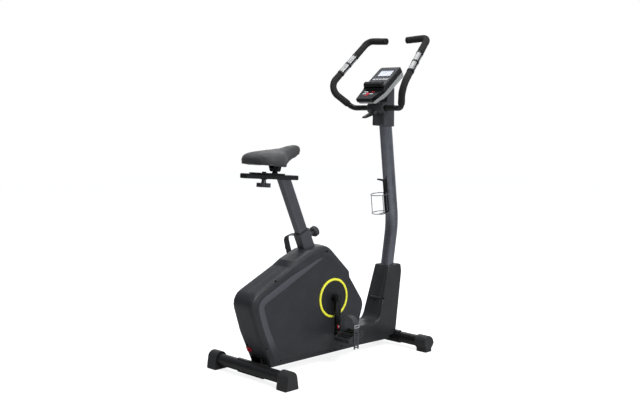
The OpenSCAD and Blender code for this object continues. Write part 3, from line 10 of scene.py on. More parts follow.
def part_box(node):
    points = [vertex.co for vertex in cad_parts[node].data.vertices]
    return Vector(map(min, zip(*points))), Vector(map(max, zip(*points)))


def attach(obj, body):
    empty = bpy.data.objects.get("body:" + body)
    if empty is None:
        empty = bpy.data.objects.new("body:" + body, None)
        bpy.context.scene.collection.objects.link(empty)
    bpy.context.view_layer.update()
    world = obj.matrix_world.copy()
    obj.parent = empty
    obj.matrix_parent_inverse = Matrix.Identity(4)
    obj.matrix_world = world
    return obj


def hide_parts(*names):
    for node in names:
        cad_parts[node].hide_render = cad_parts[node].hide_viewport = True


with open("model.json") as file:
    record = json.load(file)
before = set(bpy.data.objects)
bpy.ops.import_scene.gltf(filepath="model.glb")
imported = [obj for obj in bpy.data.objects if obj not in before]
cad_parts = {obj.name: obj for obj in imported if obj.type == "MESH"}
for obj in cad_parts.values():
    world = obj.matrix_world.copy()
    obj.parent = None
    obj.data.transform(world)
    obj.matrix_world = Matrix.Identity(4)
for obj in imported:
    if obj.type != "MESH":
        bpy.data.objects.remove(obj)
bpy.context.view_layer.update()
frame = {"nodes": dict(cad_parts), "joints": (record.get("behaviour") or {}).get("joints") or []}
nodes = frame["nodes"]


# --- Studio ---------------------------------------------------------------
# A plain white sweep under large soft lamps. The floor and the backdrop are
# white to the eye and through glass, and the floor keeps the bike's shadow;
# the bike is lit by, and mirrors, a plain dimmer room.

scene = bpy.context.scene
scene.view_settings.view_transform = "Standard"


def set_out(name, data):
    """A new object in the scene, at the origin."""
    thing = bpy.data.objects.new(name, data)
    scene.collection.objects.link(thing)
    return thing


camera = set_out("camera", bpy.data.cameras.new("camera"))
camera.data.lens = 53.8
camera.data.sensor_width = 36
camera.location = (-2.905, -2.922, 1.122)
yaw, pitch = math.radians(45.52), math.radians(-5.82)
look = Vector((math.cos(pitch) * math.cos(yaw), math.cos(pitch) * math.sin(yaw), math.sin(pitch)))
camera.rotation_euler = look.to_track_quat("-Z", "Y").to_euler()
scene.camera = camera


def add(tree, kind, **values):
    """A node with its named sockets set."""
    node = tree.nodes.new(kind)
    for name, value in values.items():
        node.inputs[name.replace("_", " ")].default_value = value
    return node


def ranged(tree, source, low, high, to_low, to_high):
    """A value moved from one range to another, and held inside it."""
    node = add(tree, "ShaderNodeMapRange", From_Min=low, From_Max=high, To_Min=to_low, To_Max=to_high)
    tree.links.new(source, node.inputs["Value"])
    return node.outputs["Result"]


def joined(tree, operation, first, second):
    """Two values put through a Math node."""
    node = tree.nodes.new("ShaderNodeMath")
    node.operation = operation
    for socket, value in zip(node.inputs, (first, second)):
        if isinstance(value, bpy.types.NodeSocket):
            tree.links.new(value, socket)
        else:
            socket.default_value = value
    return node.outputs[0]


def told_apart(tree, ending, lighting, seen):
    """Ends a tree with one shader for light on the bike and another for the eye."""
    rays = add(tree, "ShaderNodeLightPath").outputs
    eye = joined(tree, "MAXIMUM", rays["Is Camera Ray"], rays["Is Transmission Ray"])
    mix = add(tree, "ShaderNodeMixShader")
    for source, socket in zip((eye, lighting, seen), mix.inputs):
        tree.links.new(source, socket)
    tree.links.new(mix.outputs[0], add(tree, ending).inputs[0])


# The room is dimmer behind the saddle, so the bike's rear faces stay dark.
world = bpy.data.worlds.new("studio")
world.use_nodes = True
tree = world.node_tree
tree.nodes.clear()
way = add(tree, "ShaderNodeSeparateXYZ")
tree.links.new(add(tree, "ShaderNodeTexCoord").outputs["Generated"], way.inputs[0])
room = add(tree, "ShaderNodeBackground", Color=(0.9, 0.93, 1.0, 1))
room_behind, room_ahead = 0.12, 0.55
tree.links.new(ranged(tree, way.outputs["X"], -0.9, 0.3, room_behind, room_ahead), room.inputs["Strength"])
backdrop = add(tree, "ShaderNodeBackground", Color=(1, 1, 1, 1), Strength=1.0)
told_apart(tree, "ShaderNodeOutputWorld", room.outputs[0], backdrop.outputs[0])
scene.world = world

sweep = bpy.data.materials.new("white_sweep")
sweep.use_nodes = True
tree = sweep.node_tree
tree.nodes.clear()
paper = add(tree, "ShaderNodeBsdfDiffuse", Color=(0.5, 0.5, 0.5, 1))
glow = add(tree, "ShaderNodeEmission", Strength=0.8)
lit = add(tree, "ShaderNodeAddShader")
tree.links.new(paper.outputs[0], lit.inputs[0])
tree.links.new(glow.outputs[0], lit.inputs[1])
told_apart(tree, "ShaderNodeOutputMaterial", paper.outputs[0], lit.outputs[0])
reach = 9
floor_mesh = bpy.data.meshes.new("studio_floor")
floor_mesh.from_pydata([(-reach, -reach, 0), (reach, -reach, 0), (reach, reach, 0), (-reach, reach, 0)],
                       [], [(0, 1, 2, 3)])
floor_mesh.materials.append(sweep)
set_out("studio_floor", floor_mesh)

for name, place, aim_height, size, power in (
    ("lamp_key", (-0.6, -3.4, 2.8), 0.6, 2.4, 145),
    ("lamp_fill", (-3.6, 1.2, 3.0), 0.7, 1.4, 16),
    ("lamp_top", (0.2, 0.3, 3.6), 0.6, 2.2, 60),
    ("lamp_rim", (2.6, 2.8, 2.4), 0.7, 1.8, 18),
):
    lamp = bpy.data.lights.new(name, "AREA")
    lamp.shape = "RECTANGLE"
    lamp.size, lamp.size_y, lamp.energy = size, size, power
    holder = set_out(name, lamp)
    holder.location = place
    aim = Vector((0.0, 0.0, aim_height)) - Vector(place)
    holder.rotation_euler = aim.to_track_quat("-Z", "Y").to_euler()


# --- Frame ----------------------------------------------------------------
# The main beam with its cradles, the seat tube, the flywheel's fork and the
# two floor tubes. They are welded steel under a satin black powder coat.

def mixed(tree, share, first, second):
    """A colour between two others; each may be a colour or a socket."""
    node = tree.nodes.new("ShaderNodeMix")
    node.data_type = "RGBA"
    for socket, value in ((node.inputs[0], share), (node.inputs[6], first), (node.inputs[7], second)):
        if isinstance(value, bpy.types.NodeSocket):
            tree.links.new(value, socket)
        else:
            socket.default_value = value
    return node.outputs[2]


def on_object(tree, kind, **values):
    """A texture node laid out on the piece's own coordinates."""
    node = add(tree, kind, **values)
    tree.links.new(add(tree, "ShaderNodeTexCoord").outputs["Object"], node.inputs["Vector"])
    return node


def shader_group(name, ins, outs):
    """An empty group of shader nodes with its numbers in and its results out."""
    tree = bpy.data.node_groups.new(name, "ShaderNodeTree")
    for label, value in ins:
        socket = tree.interface.new_socket(label, in_out="INPUT", socket_type="NodeSocketFloat")
        socket.default_value = value
    for label, kind in outs:
        tree.interface.new_socket(label, in_out="OUTPUT", socket_type="NodeSocket" + kind)
    return tree, tree.nodes.new("NodeGroupInput").outputs, tree.nodes.new("NodeGroupOutput").inputs


# Grain of a sprayed or moulded skin: fine pores, and wide clouds of tone.
fine_grain, ins, outs = shader_group(
    "fine_grain", [("Scale", 900.0)], [("Height", "Float"), ("Mottle", "Float")])
pores = on_object(fine_grain, "ShaderNodeTexNoise", Detail=2.5, Roughness=0.6)
clouds = on_object(fine_grain, "ShaderNodeTexNoise", Scale=14.0, Detail=5.0, Roughness=0.65)
fine_grain.links.new(ins["Scale"], pores.inputs["Scale"])
fine_grain.links.new(pores.outputs[0], outs["Height"])
fine_grain.links.new(ranged(fine_grain, clouds.outputs[0], 0.32, 0.68, 0, 1), outs["Mottle"])

# Edges: a small round on every corner, and a mask where hands and shoes rub.
edge_rub, ins, outs = shader_group(
    "edge_rub", [("Radius", 0.0015)], [("Mask", "Float"), ("Normal", "Vector")])
round_off = edge_rub.nodes.new("ShaderNodeBevel")
round_off.samples = 4
edge_rub.links.new(ins["Radius"], round_off.inputs["Radius"])
turn = edge_rub.nodes.new("ShaderNodeVectorMath")
turn.operation = "DOT_PRODUCT"
edge_rub.links.new(round_off.outputs[0], turn.inputs[0])
edge_rub.links.new(add(edge_rub, "ShaderNodeNewGeometry").outputs["Normal"], turn.inputs[1])
patches = on_object(edge_rub, "ShaderNodeTexNoise", Scale=55.0, Detail=4.0, Roughness=0.7)
bend = ranged(edge_rub, turn.outputs["Value"], 0.995, 0.86, 0, 1)
patchy = ranged(edge_rub, patches.outputs[0], 0.38, 0.6, 0.25, 1)
edge_rub.links.new(joined(edge_rub, "MULTIPLY", bend, patchy), outs["Mask"])
edge_rub.links.new(round_off.outputs[0], outs["Normal"])

# Dust and scuffs that settle on faces turned up.
settled_dust, ins, outs = shader_group("settled_dust", [("Amount", 0.1)], [("Mask", "Float")])
facing = add(settled_dust, "ShaderNodeSeparateXYZ")
settled_dust.links.new(add(settled_dust, "ShaderNodeNewGeometry").outputs["Normal"], facing.inputs[0])
specks = on_object(settled_dust, "ShaderNodeTexNoise", Scale=90.0, Detail=8.0, Roughness=0.8)
lying = ranged(settled_dust, facing.outputs["Z"], 0.3, 1.0, 0, 1)
thick = ranged(settled_dust, specks.outputs[0], 0.45, 0.75, 0, 1)
lying_thick = joined(settled_dust, "MULTIPLY", lying, thick)
settled_dust.links.new(joined(settled_dust, "MULTIPLY", lying_thick, ins["Amount"]), outs["Mask"])


def paint(red, green, blue):
    """A colour written as on a paint card, 0 to 255."""
    return tuple((c / 255 / 12.92 if c < 11 else ((c / 255 + 0.055) / 1.055) ** 2.4)
                 for c in (red, green, blue)) + (1.0,)


def scaled(colour, gain, lift=0.0):
    """A colour made lighter or darker."""
    return tuple(min(1, c * gain + lift) for c in colour[:3]) + (1.0,)


def effect(tree, group, socket, value):
    """One of the node groups, set in a material with its own value."""
    node = tree.nodes.new("ShaderNodeGroup")
    node.node_tree = group
    node.inputs[socket].default_value = value
    return node.outputs


def finish(name, colour, rough, scale, depth, tone=0.14, worn=0.3, metallic=0.0, level=0.28,
           coat=0.0, radius=0.0015, dust=0.04, accent=None):
    """A material with grain, clouds of tone, rubbed edges and a little dust.

    Scale is the grain's fineness and depth its height in metres, tone how far
    the clouds go, worn how much edges are rubbed, and radius how they round.
    """
    material = bpy.data.materials.new(name)
    material.use_nodes = True
    tree = material.node_tree
    surface = tree.nodes["Principled BSDF"]
    for socket, value in (("Metallic", metallic), ("Specular IOR Level", level), ("Coat Weight", coat),
                          ("Coat Roughness", 0.1)):
        surface.inputs[socket].default_value = value
    grain = effect(tree, fine_grain, "Scale", scale)
    edge = effect(tree, edge_rub, "Radius", radius)
    film = effect(tree, settled_dust, "Amount", dust)
    base = mixed(tree, grain["Mottle"], scaled(colour, 1 - tone), scaled(colour, 1 + tone))
    if accent:
        mark = add(tree, "ShaderNodeAttribute")
        mark.attribute_name = "accent"
        base = mixed(tree, mark.outputs["Fac"], base, accent)
    base = mixed(tree, joined(tree, "MULTIPLY", edge["Mask"], worn), base, scaled(colour, 1.9, 0.02))
    base = mixed(tree, film["Mask"], base, paint(140, 138, 134))
    tree.links.new(base, surface.inputs["Base Color"])
    sheen = ranged(tree, grain["Mottle"], 0, 1, rough * 0.9, min(1, rough * 1.12))
    sheen = joined(tree, "ADD", sheen, joined(tree, "MULTIPLY", film["Mask"], 0.5))
    tree.links.new(sheen, surface.inputs["Roughness"])
    bump = add(tree, "ShaderNodeBump", Strength=1.0, Distance=depth)
    tree.links.new(grain["Height"], bump.inputs["Height"])
    tree.links.new(edge["Normal"], bump.inputs["Normal"])
    tree.links.new(bump.outputs[0], surface.inputs["Normal"])
    return material


def dress(material, *names):
    """Gives CAD nodes a finished material in place of the plain one they load with."""
    for name in names:
        for slot in nodes[name].material_slots:
            slot.material = material


frame_coat = finish("satin_black_coat", paint(20, 20, 21), 0.38, 1100, 0.00006, worn=0.35)
dress(frame_coat, "base_frame", "rear_stabilizer", "front_stabilizer",
      "magnet_bracket", "bottle_bracket")


# --- Floor caps -----------------------------------------------------------
# Caps pushed over the ends of the floor tubes, moulded in a grippy plastic.
# The rear ones flare into a broad foot; the front ones carry the wheels.

cap_plastic = finish("cap_plastic", paint(42, 42, 43), 0.5, 700, 0.00014, worn=0.3, dust=0.06)
dress(cap_plastic, "rear_caps", "front_caps")


# --- Transport wheels -----------------------------------------------------
# Two rubber wheels in the forks of the front caps, on a moulded pin.

wheel_rubber = finish("wheel_rubber", paint(24, 24, 24), 0.68, 500, 0.0002, worn=0.5, dust=0.1)
dress(wheel_rubber, "transport_wheel_left", "transport_wheel_right")


# --- Screws and bolts -----------------------------------------------------
# Socket and hexagon screws of every joint, in black zinc.

black_zinc = finish("black_zinc", paint(34, 34, 36), 0.33, 1500, 0.00003, metallic=0.7, worn=0.6,
                    radius=0.0005)
dress(black_zinc, "fasteners")


# --- Drive inside the housing ---------------------------------------------
# Crank axle in two ball bearings, pulley and ribbed belt to the cast flywheel,
# a spring idler, and the magnet bracket that the tension motor swings.

plated_steel = finish("plated_steel", paint(190, 191, 194), 0.26, 1400, 0.00003, metallic=1.0,
                      tone=0.06, worn=0.1, radius=0.0005, dust=0.03)
cast_iron = finish("cast_iron", paint(112, 113, 118), 0.5, 380, 0.0003, metallic=0.85, tone=0.22,
                   worn=0.7, radius=0.001)
belt_rubber = finish("belt_rubber", paint(18, 18, 18), 0.62, 900, 0.0001, worn=0.2)
drive_plastic = finish("drive_plastic", paint(26, 26, 28), 0.42, 800, 0.00008)
dress(plated_steel, "crank_axle", "crank_bearings", "flywheel_axle", "pedal_spindles")
dress(cast_iron, "flywheel")
dress(belt_rubber, "drive_belt")
dress(drive_plastic, "drive_pulley", "belt_idler", "tension_motor")


# --- Housing --------------------------------------------------------------
# Two moulded shells in fine-grained charcoal plastic, screwed together along
# the middle. Each side panel stands proud, and inside its chamfer runs a paler
# trim strip, wide at the rear, that fades out at both ends.

def worked_mesh(piece):
    """A plain new mesh of a piece with its modifiers worked in."""
    return bpy.data.meshes.new_from_object(piece.evaluated_get(bpy.context.evaluated_depsgraph_get()))


def mended(mesh, merge=0.0, outward=True):
    """Merges points that lie closer than that, and turns the faces outwards."""
    form = bmesh.new()
    form.from_mesh(mesh)
    if merge:
        bmesh.ops.remove_doubles(form, verts=form.verts, dist=merge)
    if outward:
        bmesh.ops.recalc_face_normals(form, faces=form.faces)
    form.to_mesh(mesh)
    form.free()
    return mesh


def smoothed(mesh, angle):
    """Smooth faces that meet in a crisp edge where they turn by more than that angle."""
    mesh.shade_smooth()
    mesh.set_sharp_from_angle(angle=math.radians(angle))
    return mesh


def skin(source, name, body, material, angle):
    """A shell copied from its CAD node with its facets joined into smooth faces."""
    mesh = smoothed(mended(nodes[source].data.copy(), 4e-6, outward=False), angle)
    piece = set_out(name, mesh)
    evener = piece.modifiers.new("even_normals", "WEIGHTED_NORMAL")
    evener.keep_sharp = True
    evener.weight = 100
    piece.data = worked_mesh(piece)
    piece.modifiers.clear()
    piece.data.name = name
    piece.data.materials.clear()
    piece.data.materials.append(material)
    for face in piece.data.polygons:
        face.material_index = 0
    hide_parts(source)
    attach(piece, body)
    return piece


def ease(value):
    """Rises smoothly from 0 to 1."""
    value = min(1, max(0, value))
    return value * value * (3 - 2 * value)


def shown(name, mesh, body, material=None, instead_of=None):
    """Puts a finished mesh in the scene as a piece of that body."""
    mesh.name = name
    piece = set_out(name, mesh)
    if material:
        mesh.materials.clear()
        mesh.materials.append(material)
    if instead_of:
        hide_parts(instead_of)
    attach(piece, body)
    return piece


def form_mesh(name, rings):
    """A closed skin over rings of equal length, with both ends filled."""
    mesh = bpy.data.meshes.new(name)
    n = len(rings[0])
    faces = [(i * n + j, i * n + (j + 1) % n, (i + 1) * n + (j + 1) % n, (i + 1) * n + j)
             for i in range(len(rings) - 1) for j in range(n)]
    faces += [tuple(reversed(range(n))), tuple(range((len(rings) - 1) * n, len(rings) * n))]
    mesh.from_pydata([p for ring in rings for p in ring], [], faces)
    mended(mesh).shade_smooth()
    return mesh


def panel_rim(mesh, panel_y):
    """The outline of a shell's flat side panel in x and z, over the top from rear to front."""
    within = 0.0002
    flat = [abs(v.co.y) > panel_y - within for v in mesh.vertices]
    onward = []
    for face in mesh.polygons:
        if all(flat[v] for v in face.vertices):
            onward += zip(face.vertices, [*face.vertices[1:], face.vertices[0]])
    inside = set(onward)
    rim_next = {a: b for a, b in onward if (b, a) not in inside}
    loops = []
    while rim_next:
        start, spot = next(iter(rim_next.items()))
        loop = [start]
        del rim_next[start]
        while spot in rim_next:
            loop.append(spot)
            spot = rim_next.pop(spot)
        loops.append([Vector((mesh.vertices[v].co.x, mesh.vertices[v].co.z)) for v in loop])
    rim = max(loops, key=lambda loop: max(p.x for p in loop) - min(p.x for p in loop))
    if sum((b.x - a.x) * (b.y + a.y) for a, b in zip(rim, rim[1:] + rim[:1])) < 0:
        rim.reverse()
    return rim


def evened(loop, step, span, start):
    """A closed outline in steps of that length, smoothed over its neighbours, from near start."""
    fine = []
    for a, b in zip(loop, loop[1:] + loop[:1]):
        count = max(1, round((b - a).length / step))
        fine += [a + (b - a) * i / count for i in range(count)]
    first = min(range(len(fine)), key=lambda i: (fine[i] - start).length)
    fine = fine[first:] + fine[:first]
    near = range(-span, span + 1)
    return [sum((fine[(i + k) % len(fine)] for k in near), Vector((0, 0))) / len(near)
            for i in range(len(fine))]


shell_plastic = finish("shell_plastic", paint(42, 43, 46), 0.36, 650, 0.00008, worn=0.25, dust=0.04,
                       accent=paint(72, 74, 80))
crank = sum(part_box("crank_axle"), Vector()) / 2
panel_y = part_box("housing_left")[1].y
trim_front, trim_foot = crank.x - 0.04, 0.075
trim_narrow, trim_wide, trim_inset, trim_lift = 0.010, 0.028, 0.0006, 0.0002
widens_over, fades_front, fades_foot, tone_drop = 0.22, 0.05, 0.08, 0.25
steps = [i / 4 for i in range(5)]
for side in ("right", "left"):
    shell = skin("housing_" + side, "shell_" + side, "frame", shell_plastic, 32)

    # The trim follows the rim of the flat panel, from low at the rear to the top.
    # Its direction is taken over five steps either way.
    outline = evened(panel_rim(shell.data, panel_y), step=0.004, span=8, start=Vector((crank.x + 0.2, 0.0)))
    toward = shell.data.vertices[0].co.y
    out_y, in_y = (math.copysign(panel_y + lift, toward) for lift in (trim_lift, -trim_lift))
    rings, tones = [], []
    for i, here in enumerate(outline):
        if here.x >= trim_front or here.y <= trim_foot:
            continue
        ahead = (outline[(i + 5) % len(outline)] - outline[i - 5]).normalized()
        inward = Vector((ahead.y, -ahead.x))
        width = trim_narrow + (trim_wide - trim_narrow) * ease((trim_front - 0.01 - here.x) / widens_over)
        fade = ease((trim_front - 0.005 - here.x) / fades_front)
        fade *= ease((here.y - trim_foot - 0.01) / fades_foot)
        across = [here + inward * (trim_inset + width * step) for step in steps]
        tone = [fade * (1 - tone_drop * step) for step in steps]
        rings.append([(p.x, out_y, p.y) for p in across] + [(p.x, in_y, p.y) for p in reversed(across)])
        tones += tone + tone[::-1]
    trim = smoothed(form_mesh("trim", rings), 40)
    trim.attributes.new("accent", "FLOAT", "POINT").data.foreach_set("value", tones)
    shown("shell_trim_" + side, trim, "frame", shell_plastic)


# --- Disc covers and rings ------------------------------------------------
# A dished disc round each crank, framed by a glossy yellow ring that clips
# into the panel.

disc_plastic = finish("disc_plastic", paint(30, 31, 33), 0.45, 650, 0.0001)
dress(disc_plastic, "disc_covers")
ring_plastic = finish("ring_plastic", paint(236, 234, 66), 0.3, 400, 0.00004, tone=0.05, worn=0.1,
                      coat=0.3, dust=0.03)
dress(ring_plastic, "disc_rings")


# --- Switch and inlet -----------------------------------------------------
# A rocker switch of clear red plastic in a black frame, beside the round
# socket of the mains adapter, both at the housing's lower rear.

switch_red = finish("switch_red", paint(186, 22, 44), 0.22, 500, 0.00002, tone=0.08, worn=0.1,
                    coat=0.5, dust=0.02, radius=0.0006)
dress(switch_red, "power_switch")
inlet_plastic = finish("inlet_plastic", paint(18, 18, 19), 0.3, 900, 0.00004, radius=0.0006)
dress(inlet_plastic, "power_inlet")


# --- Boot -----------------------------------------------------------------
# Two moulded shells that close round the foot of the mast and the cradle.

boot_plastic = finish("boot_plastic", paint(40, 41, 43), 0.36, 650, 0.00008, worn=0.25, dust=0.04)
for side in ("right", "left"):
    skin("boot_" + side, "boot_shell_" + side, "frame", boot_plastic, 34)


# --- Mast -----------------------------------------------------------------
# One bent steel tube in graphite powder coat with a fine metallic sparkle.

graphite_coat = finish("graphite_coat", paint(112, 114, 121), 0.22, 1300, 0.00004, metallic=0.8,
                       tone=0.1, worn=0.3, dust=0.06)
tree = graphite_coat.node_tree
surface = tree.nodes["Principled BSDF"]
flakes = on_object(tree, "ShaderNodeTexVoronoi", Scale=1600.0)
flake_tone = add(tree, "ShaderNodeSeparateColor")
tree.links.new(flakes.outputs["Color"], flake_tone.inputs[0])
glint = ranged(tree, flake_tone.outputs[0], 0.85, 1.0, 0, 0.3)
before = surface.inputs["Base Color"].links[0].from_socket
tree.links.new(mixed(tree, glint, before, paint(150, 152, 162)), surface.inputs["Base Color"])
dress(graphite_coat, "mast")


# --- Head cover and clamp lever -------------------------------------------
# Two moulded halves hide the handlebar's clamp, and a leaf-shaped lever
# tightens it from below.

head_plastic = finish("head_plastic", paint(56, 57, 60), 0.36, 650, 0.00008, worn=0.25, dust=0.03)
for half in ("front", "rear"):
    skin("head_cover_" + half, "head_shell_" + half, "frame", head_plastic, 34)
lever_plastic = finish("lever_plastic", paint(30, 30, 31), 0.34, 800, 0.00006)
dress(lever_plastic, "clamp_lever")


# --- Bottle holder --------------------------------------------------------
# A cage of bent bright wire on a small screwed plate.

bright_wire = finish("bright_wire", paint(120, 121, 125), 0.22, 1500, 0.00002, metallic=1.0,
                     tone=0.12, worn=0.1, radius=0.0004, dust=0.02)
dress(bright_wire, "bottle_cage")


# --- Seat post ------------------------------------------------------------
# A rectangular tube in graphite coat, running in a moulded bushing. It ends
# in the slotted rail, and a spring pin with a ribbed knob holds its height.

# The rail above the tube is in plain black; it dips a little to the front.
post_low, post_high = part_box("seat_post")
rail_dip, rail_height = math.tan(math.radians(4.8)), 0.0202
post_coat = graphite_coat.copy()
post_coat.name = "post_coat"
tree = post_coat.node_tree
surface = tree.nodes["Principled BSDF"]
height = on_object(tree, "ShaderNodeSeparateXYZ")
level = joined(tree, "ADD", height.outputs["Z"], joined(tree, "MULTIPLY", height.outputs["X"], rail_dip))
on_rail = joined(tree, "GREATER_THAN", level, post_high.z + post_low.x * rail_dip - rail_height)
before = surface.inputs["Base Color"].links[0].from_socket
darker = mixed(tree, ranged(tree, on_rail, 0, 1, 0.5, 1.0), before, paint(24, 24, 25))
tree.links.new(darker, surface.inputs["Base Color"])
tree.links.new(ranged(tree, on_rail, 0, 1, 0.5, 0.0), surface.inputs["Metallic"])
dress(post_coat, "seat_post")
bushing_plastic = finish("bushing_plastic", paint(42, 43, 45), 0.4, 700, 0.00008)
dress(bushing_plastic, "post_bushing")
tube_coat = finish("tube_coat", paint(62, 64, 68), 0.36, 1100, 0.00006, worn=0.4, dust=0.03)
dress(tube_coat, "seat_tube")
knob_plastic = finish("knob_plastic", paint(52, 52, 54), 0.34, 800, 0.00006, worn=0.4)
dress(knob_plastic, "pull_pin")


# --- Carriage -------------------------------------------------------------
# The plate that slides on the rail, its star knob, and the clamp that lets
# the saddle tilt.

dress(frame_coat, "carriage", "saddle_clamp")
dress(knob_plastic, "carriage_knob")


# --- Saddle ---------------------------------------------------------------
# Matt vinyl sewn over moulded foam, pulled round a black plastic base. Broad
# wings at the back, a raised nose in front, a welted seam above the base.

def table(rows, share):
    """A smooth value between the rows (share, value) of a table."""
    for (a, low), (b, high) in zip(rows, rows[1:]):
        if share <= b:
            return low + (high - low) * ease((share - a) / (b - a))
    return rows[-1][1]


def work_in(piece):
    """Leaves a piece with a plain mesh in place of its modifiers."""
    mesh = worked_mesh(piece)
    piece.modifiers.clear()
    piece.data = mesh


saddle_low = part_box("saddle")[0]
saddle_back, saddle_length = saddle_low.x - 0.001, 0.264
half_widths = [(0.0, 0.052), (0.06, 0.083), (0.14, 0.098), (0.26, 0.103), (0.38, 0.099), (0.47, 0.082),
               (0.57, 0.057), (0.7, 0.038), (0.85, 0.031), (0.95, 0.024), (1.0, 0.013)]
crowns = [(0.0, 0.032), (0.07, 0.044), (0.2, 0.050), (0.45, 0.053), (0.6, 0.058), (0.78, 0.069),
          (0.9, 0.074), (0.96, 0.070), (1.0, 0.060)]
hems = [(0.0, 0.006), (0.12, 0.001), (0.3, -0.006), (0.45, -0.009), (0.52, -0.006), (0.62, 0.006),
        (0.8, 0.022), (0.95, 0.036), (1.0, 0.042)]
shares = [0.0, 0.02, 0.05, 0.09, 0.14, 0.2, 0.27, 0.34, 0.4, 0.45, 0.5, 0.55, 0.61, 0.68, 0.76, 0.84,
          0.9, 0.94, 0.97, 0.99, 1.0]
# Half a cross-section beyond the hollow base, up the side to the crown.
half_section = [(0.84, 0.0), (0.985, 0.03), (1.0, 0.2), (0.995, 0.45), (0.95, 0.68), (0.85, 0.85),
                (0.66, 0.965), (0.4, 1.0), (0.18, 1.0), (0.0, 1.0)]


def saddle_ring(share, shrink):
    """One cross-section of the saddle, made a little smaller for the foam to fill."""
    width, top, hem = table(half_widths, share) - shrink, table(crowns, share), table(hems, share) + shrink
    tall = top - hem
    dip = 0.004 * ease((0.75 - share) / 0.4) * ease(share / 0.15)
    hollow = max(0, 0.0015 + shrink - hem) / tall
    side = [(0.0, hollow), (0.5, hollow)] + half_section
    points = [(k * width, hem + tall * h - (dip if k < 0.1 and h > 0.9 else 0)) for k, h in side]
    points += [(-y, z) for y, z in points[-2:0:-1]]
    return [(saddle_back + share * saddle_length, y, saddle_low.z + z) for y, z in points]


pad = set_out("saddle_pad", form_mesh("saddle_pad", [saddle_ring(share, 0.002) for share in shares]))
soft = pad.modifiers.new("soft", "SUBSURF")
soft.levels = soft.render_levels = 2
fine = pad.modifiers.new("fine", "REMESH")
fine.mode = "VOXEL"
fine.voxel_size = 0.005
work_in(pad)
pad.data.shade_smooth()
# The foam swells under the vinyl, which is held along the hem.
most_swell = 0.005
still = [v.co.copy() for v in pad.data.vertices]
held = pad.vertex_groups.new(name="held")
for v in pad.data.vertices:
    over = v.co.z - saddle_low.z - table(hems, (v.co.x - saddle_back) / saddle_length)
    held.add([v.index], 1 - ease((over - 0.003) / 0.008), "REPLACE")
cloth = pad.modifiers.new("cloth", "CLOTH").settings
cloth.use_pressure = True
cloth.uniform_pressure_force = 4
cloth.effector_weights.gravity = 0
cloth.vertex_group_mass = "held"
cloth.quality = 6
for step in range(1, 21):
    scene.frame_set(step)
work_in(pad)
scene.frame_set(1)
for v, old in zip(pad.data.vertices, still):
    gone = v.co - old
    if gone.length > most_swell:
        v.co = old + gone * (most_swell / gone.length)
smooth = pad.modifiers.new("smooth", "SMOOTH")
smooth.factor, smooth.iterations = 0.5, 6
round_up = pad.modifiers.new("round_up", "SUBSURF")
round_up.levels = round_up.render_levels = 1
work_in(pad)
pad.data.shade_smooth()
pad.vertex_groups.clear()


def dimpled(material, cells, strength, depth):
    """Lays a pattern of cells over the grain of a material."""
    tree = material.node_tree
    surface = tree.nodes["Principled BSDF"]
    pattern = on_object(tree, "ShaderNodeTexVoronoi", Scale=cells)
    bump = add(tree, "ShaderNodeBump", Strength=strength, Distance=depth)
    tree.links.new(pattern.outputs["Distance"], bump.inputs["Height"])
    tree.links.new(surface.inputs["Normal"].links[0].from_socket, bump.inputs["Normal"])
    tree.links.new(bump.outputs[0], surface.inputs["Normal"])


vinyl = finish("matt_vinyl", paint(62, 62, 63), 0.55, 950, 0.00005, tone=0.03, worn=0.0, dust=0.0,
               level=0.2)
dimpled(vinyl, 620.0, 0.6, 0.0001)
surface = vinyl.node_tree.nodes["Principled BSDF"]
surface.inputs["Sheen Weight"].default_value = 0.05
surface.inputs["Sheen Roughness"].default_value = 0.5
pad.data.materials.clear()
pad.data.materials.append(vinyl)
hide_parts("saddle")
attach(pad, "saddle_body")

# The base is a shallow shell inside the hem, arched over the clamp.
base_inset, base_under, base_over, arch_up = 0.007, 0.0012, 0.005, 0.0012
base_rings = []
for share in shares[1:-1]:
    wide, hem = table(half_widths, share) - base_inset, table(hems, share)
    x, rise = saddle_back + share * saddle_length, max(hem, arch_up) - hem
    arch = [(y * wide, saddle_low.z + hem + rise * h)
            for y, h in ((-1, 0.0), (-0.55, 1.0), (0, 1.0), (0.55, 1.0), (1, 0.0))]
    base_rings.append([(x, y, z - base_under) for y, z in arch]
                      + [(x, y, z + base_over) for y, z in arch[::-1]])
shown("saddle_base", form_mesh("base", base_rings), "saddle_body", knob_plastic, "saddle")

# The welt runs round the pad just above the base; its stitches follow it.
cover = BVHTree.FromPolygons([v.co for v in pad.data.vertices], [p.vertices[:] for p in pad.data.polygons])
welt_up, beside, rim = 0.0095, 0.01, []
for side, row in ((1, shares[2:-2]), (-1, shares[-3:1:-1])):
    for share in row:
        y, z = side * (table(half_widths, share) + beside), saddle_low.z + table(hems, share) + welt_up
        rim.append(cover.find_nearest(Vector((saddle_back + share * saddle_length, y, z)))[0])
welt_line = bpy.data.curves.new("saddle_welt", "CURVE")
welt_line.dimensions = "3D"
run = welt_line.splines.new("NURBS")
run.points.add(len(rim) - 1)
for point, place in zip(run.points, rim):
    point.co = (*place, 1)
run.use_cyclic_u = True
run.order_u = 3
welt_line.resolution_u = 6
welt_line.bevel_depth = 0.0011
welt_line.bevel_resolution = 2
welt = set_out("saddle_welt", welt_line)
welt_mesh = worked_mesh(welt)
welt_mesh.shade_smooth()
shown("saddle_piping", welt_mesh, "saddle_body", vinyl, "saddle")


def geometry_tree(name, ins):
    """An empty Geometry Nodes tree with named inputs and one mesh out."""
    tree = bpy.data.node_groups.new(name, "GeometryNodeTree")
    for label, kind in ins:
        tree.interface.new_socket(label, in_out="INPUT", socket_type="NodeSocket" + kind)
    tree.interface.new_socket("Mesh", in_out="OUTPUT", socket_type="NodeSocketGeometry")
    return tree, tree.nodes.new("NodeGroupInput").outputs, tree.nodes.new("NodeGroupOutput").inputs


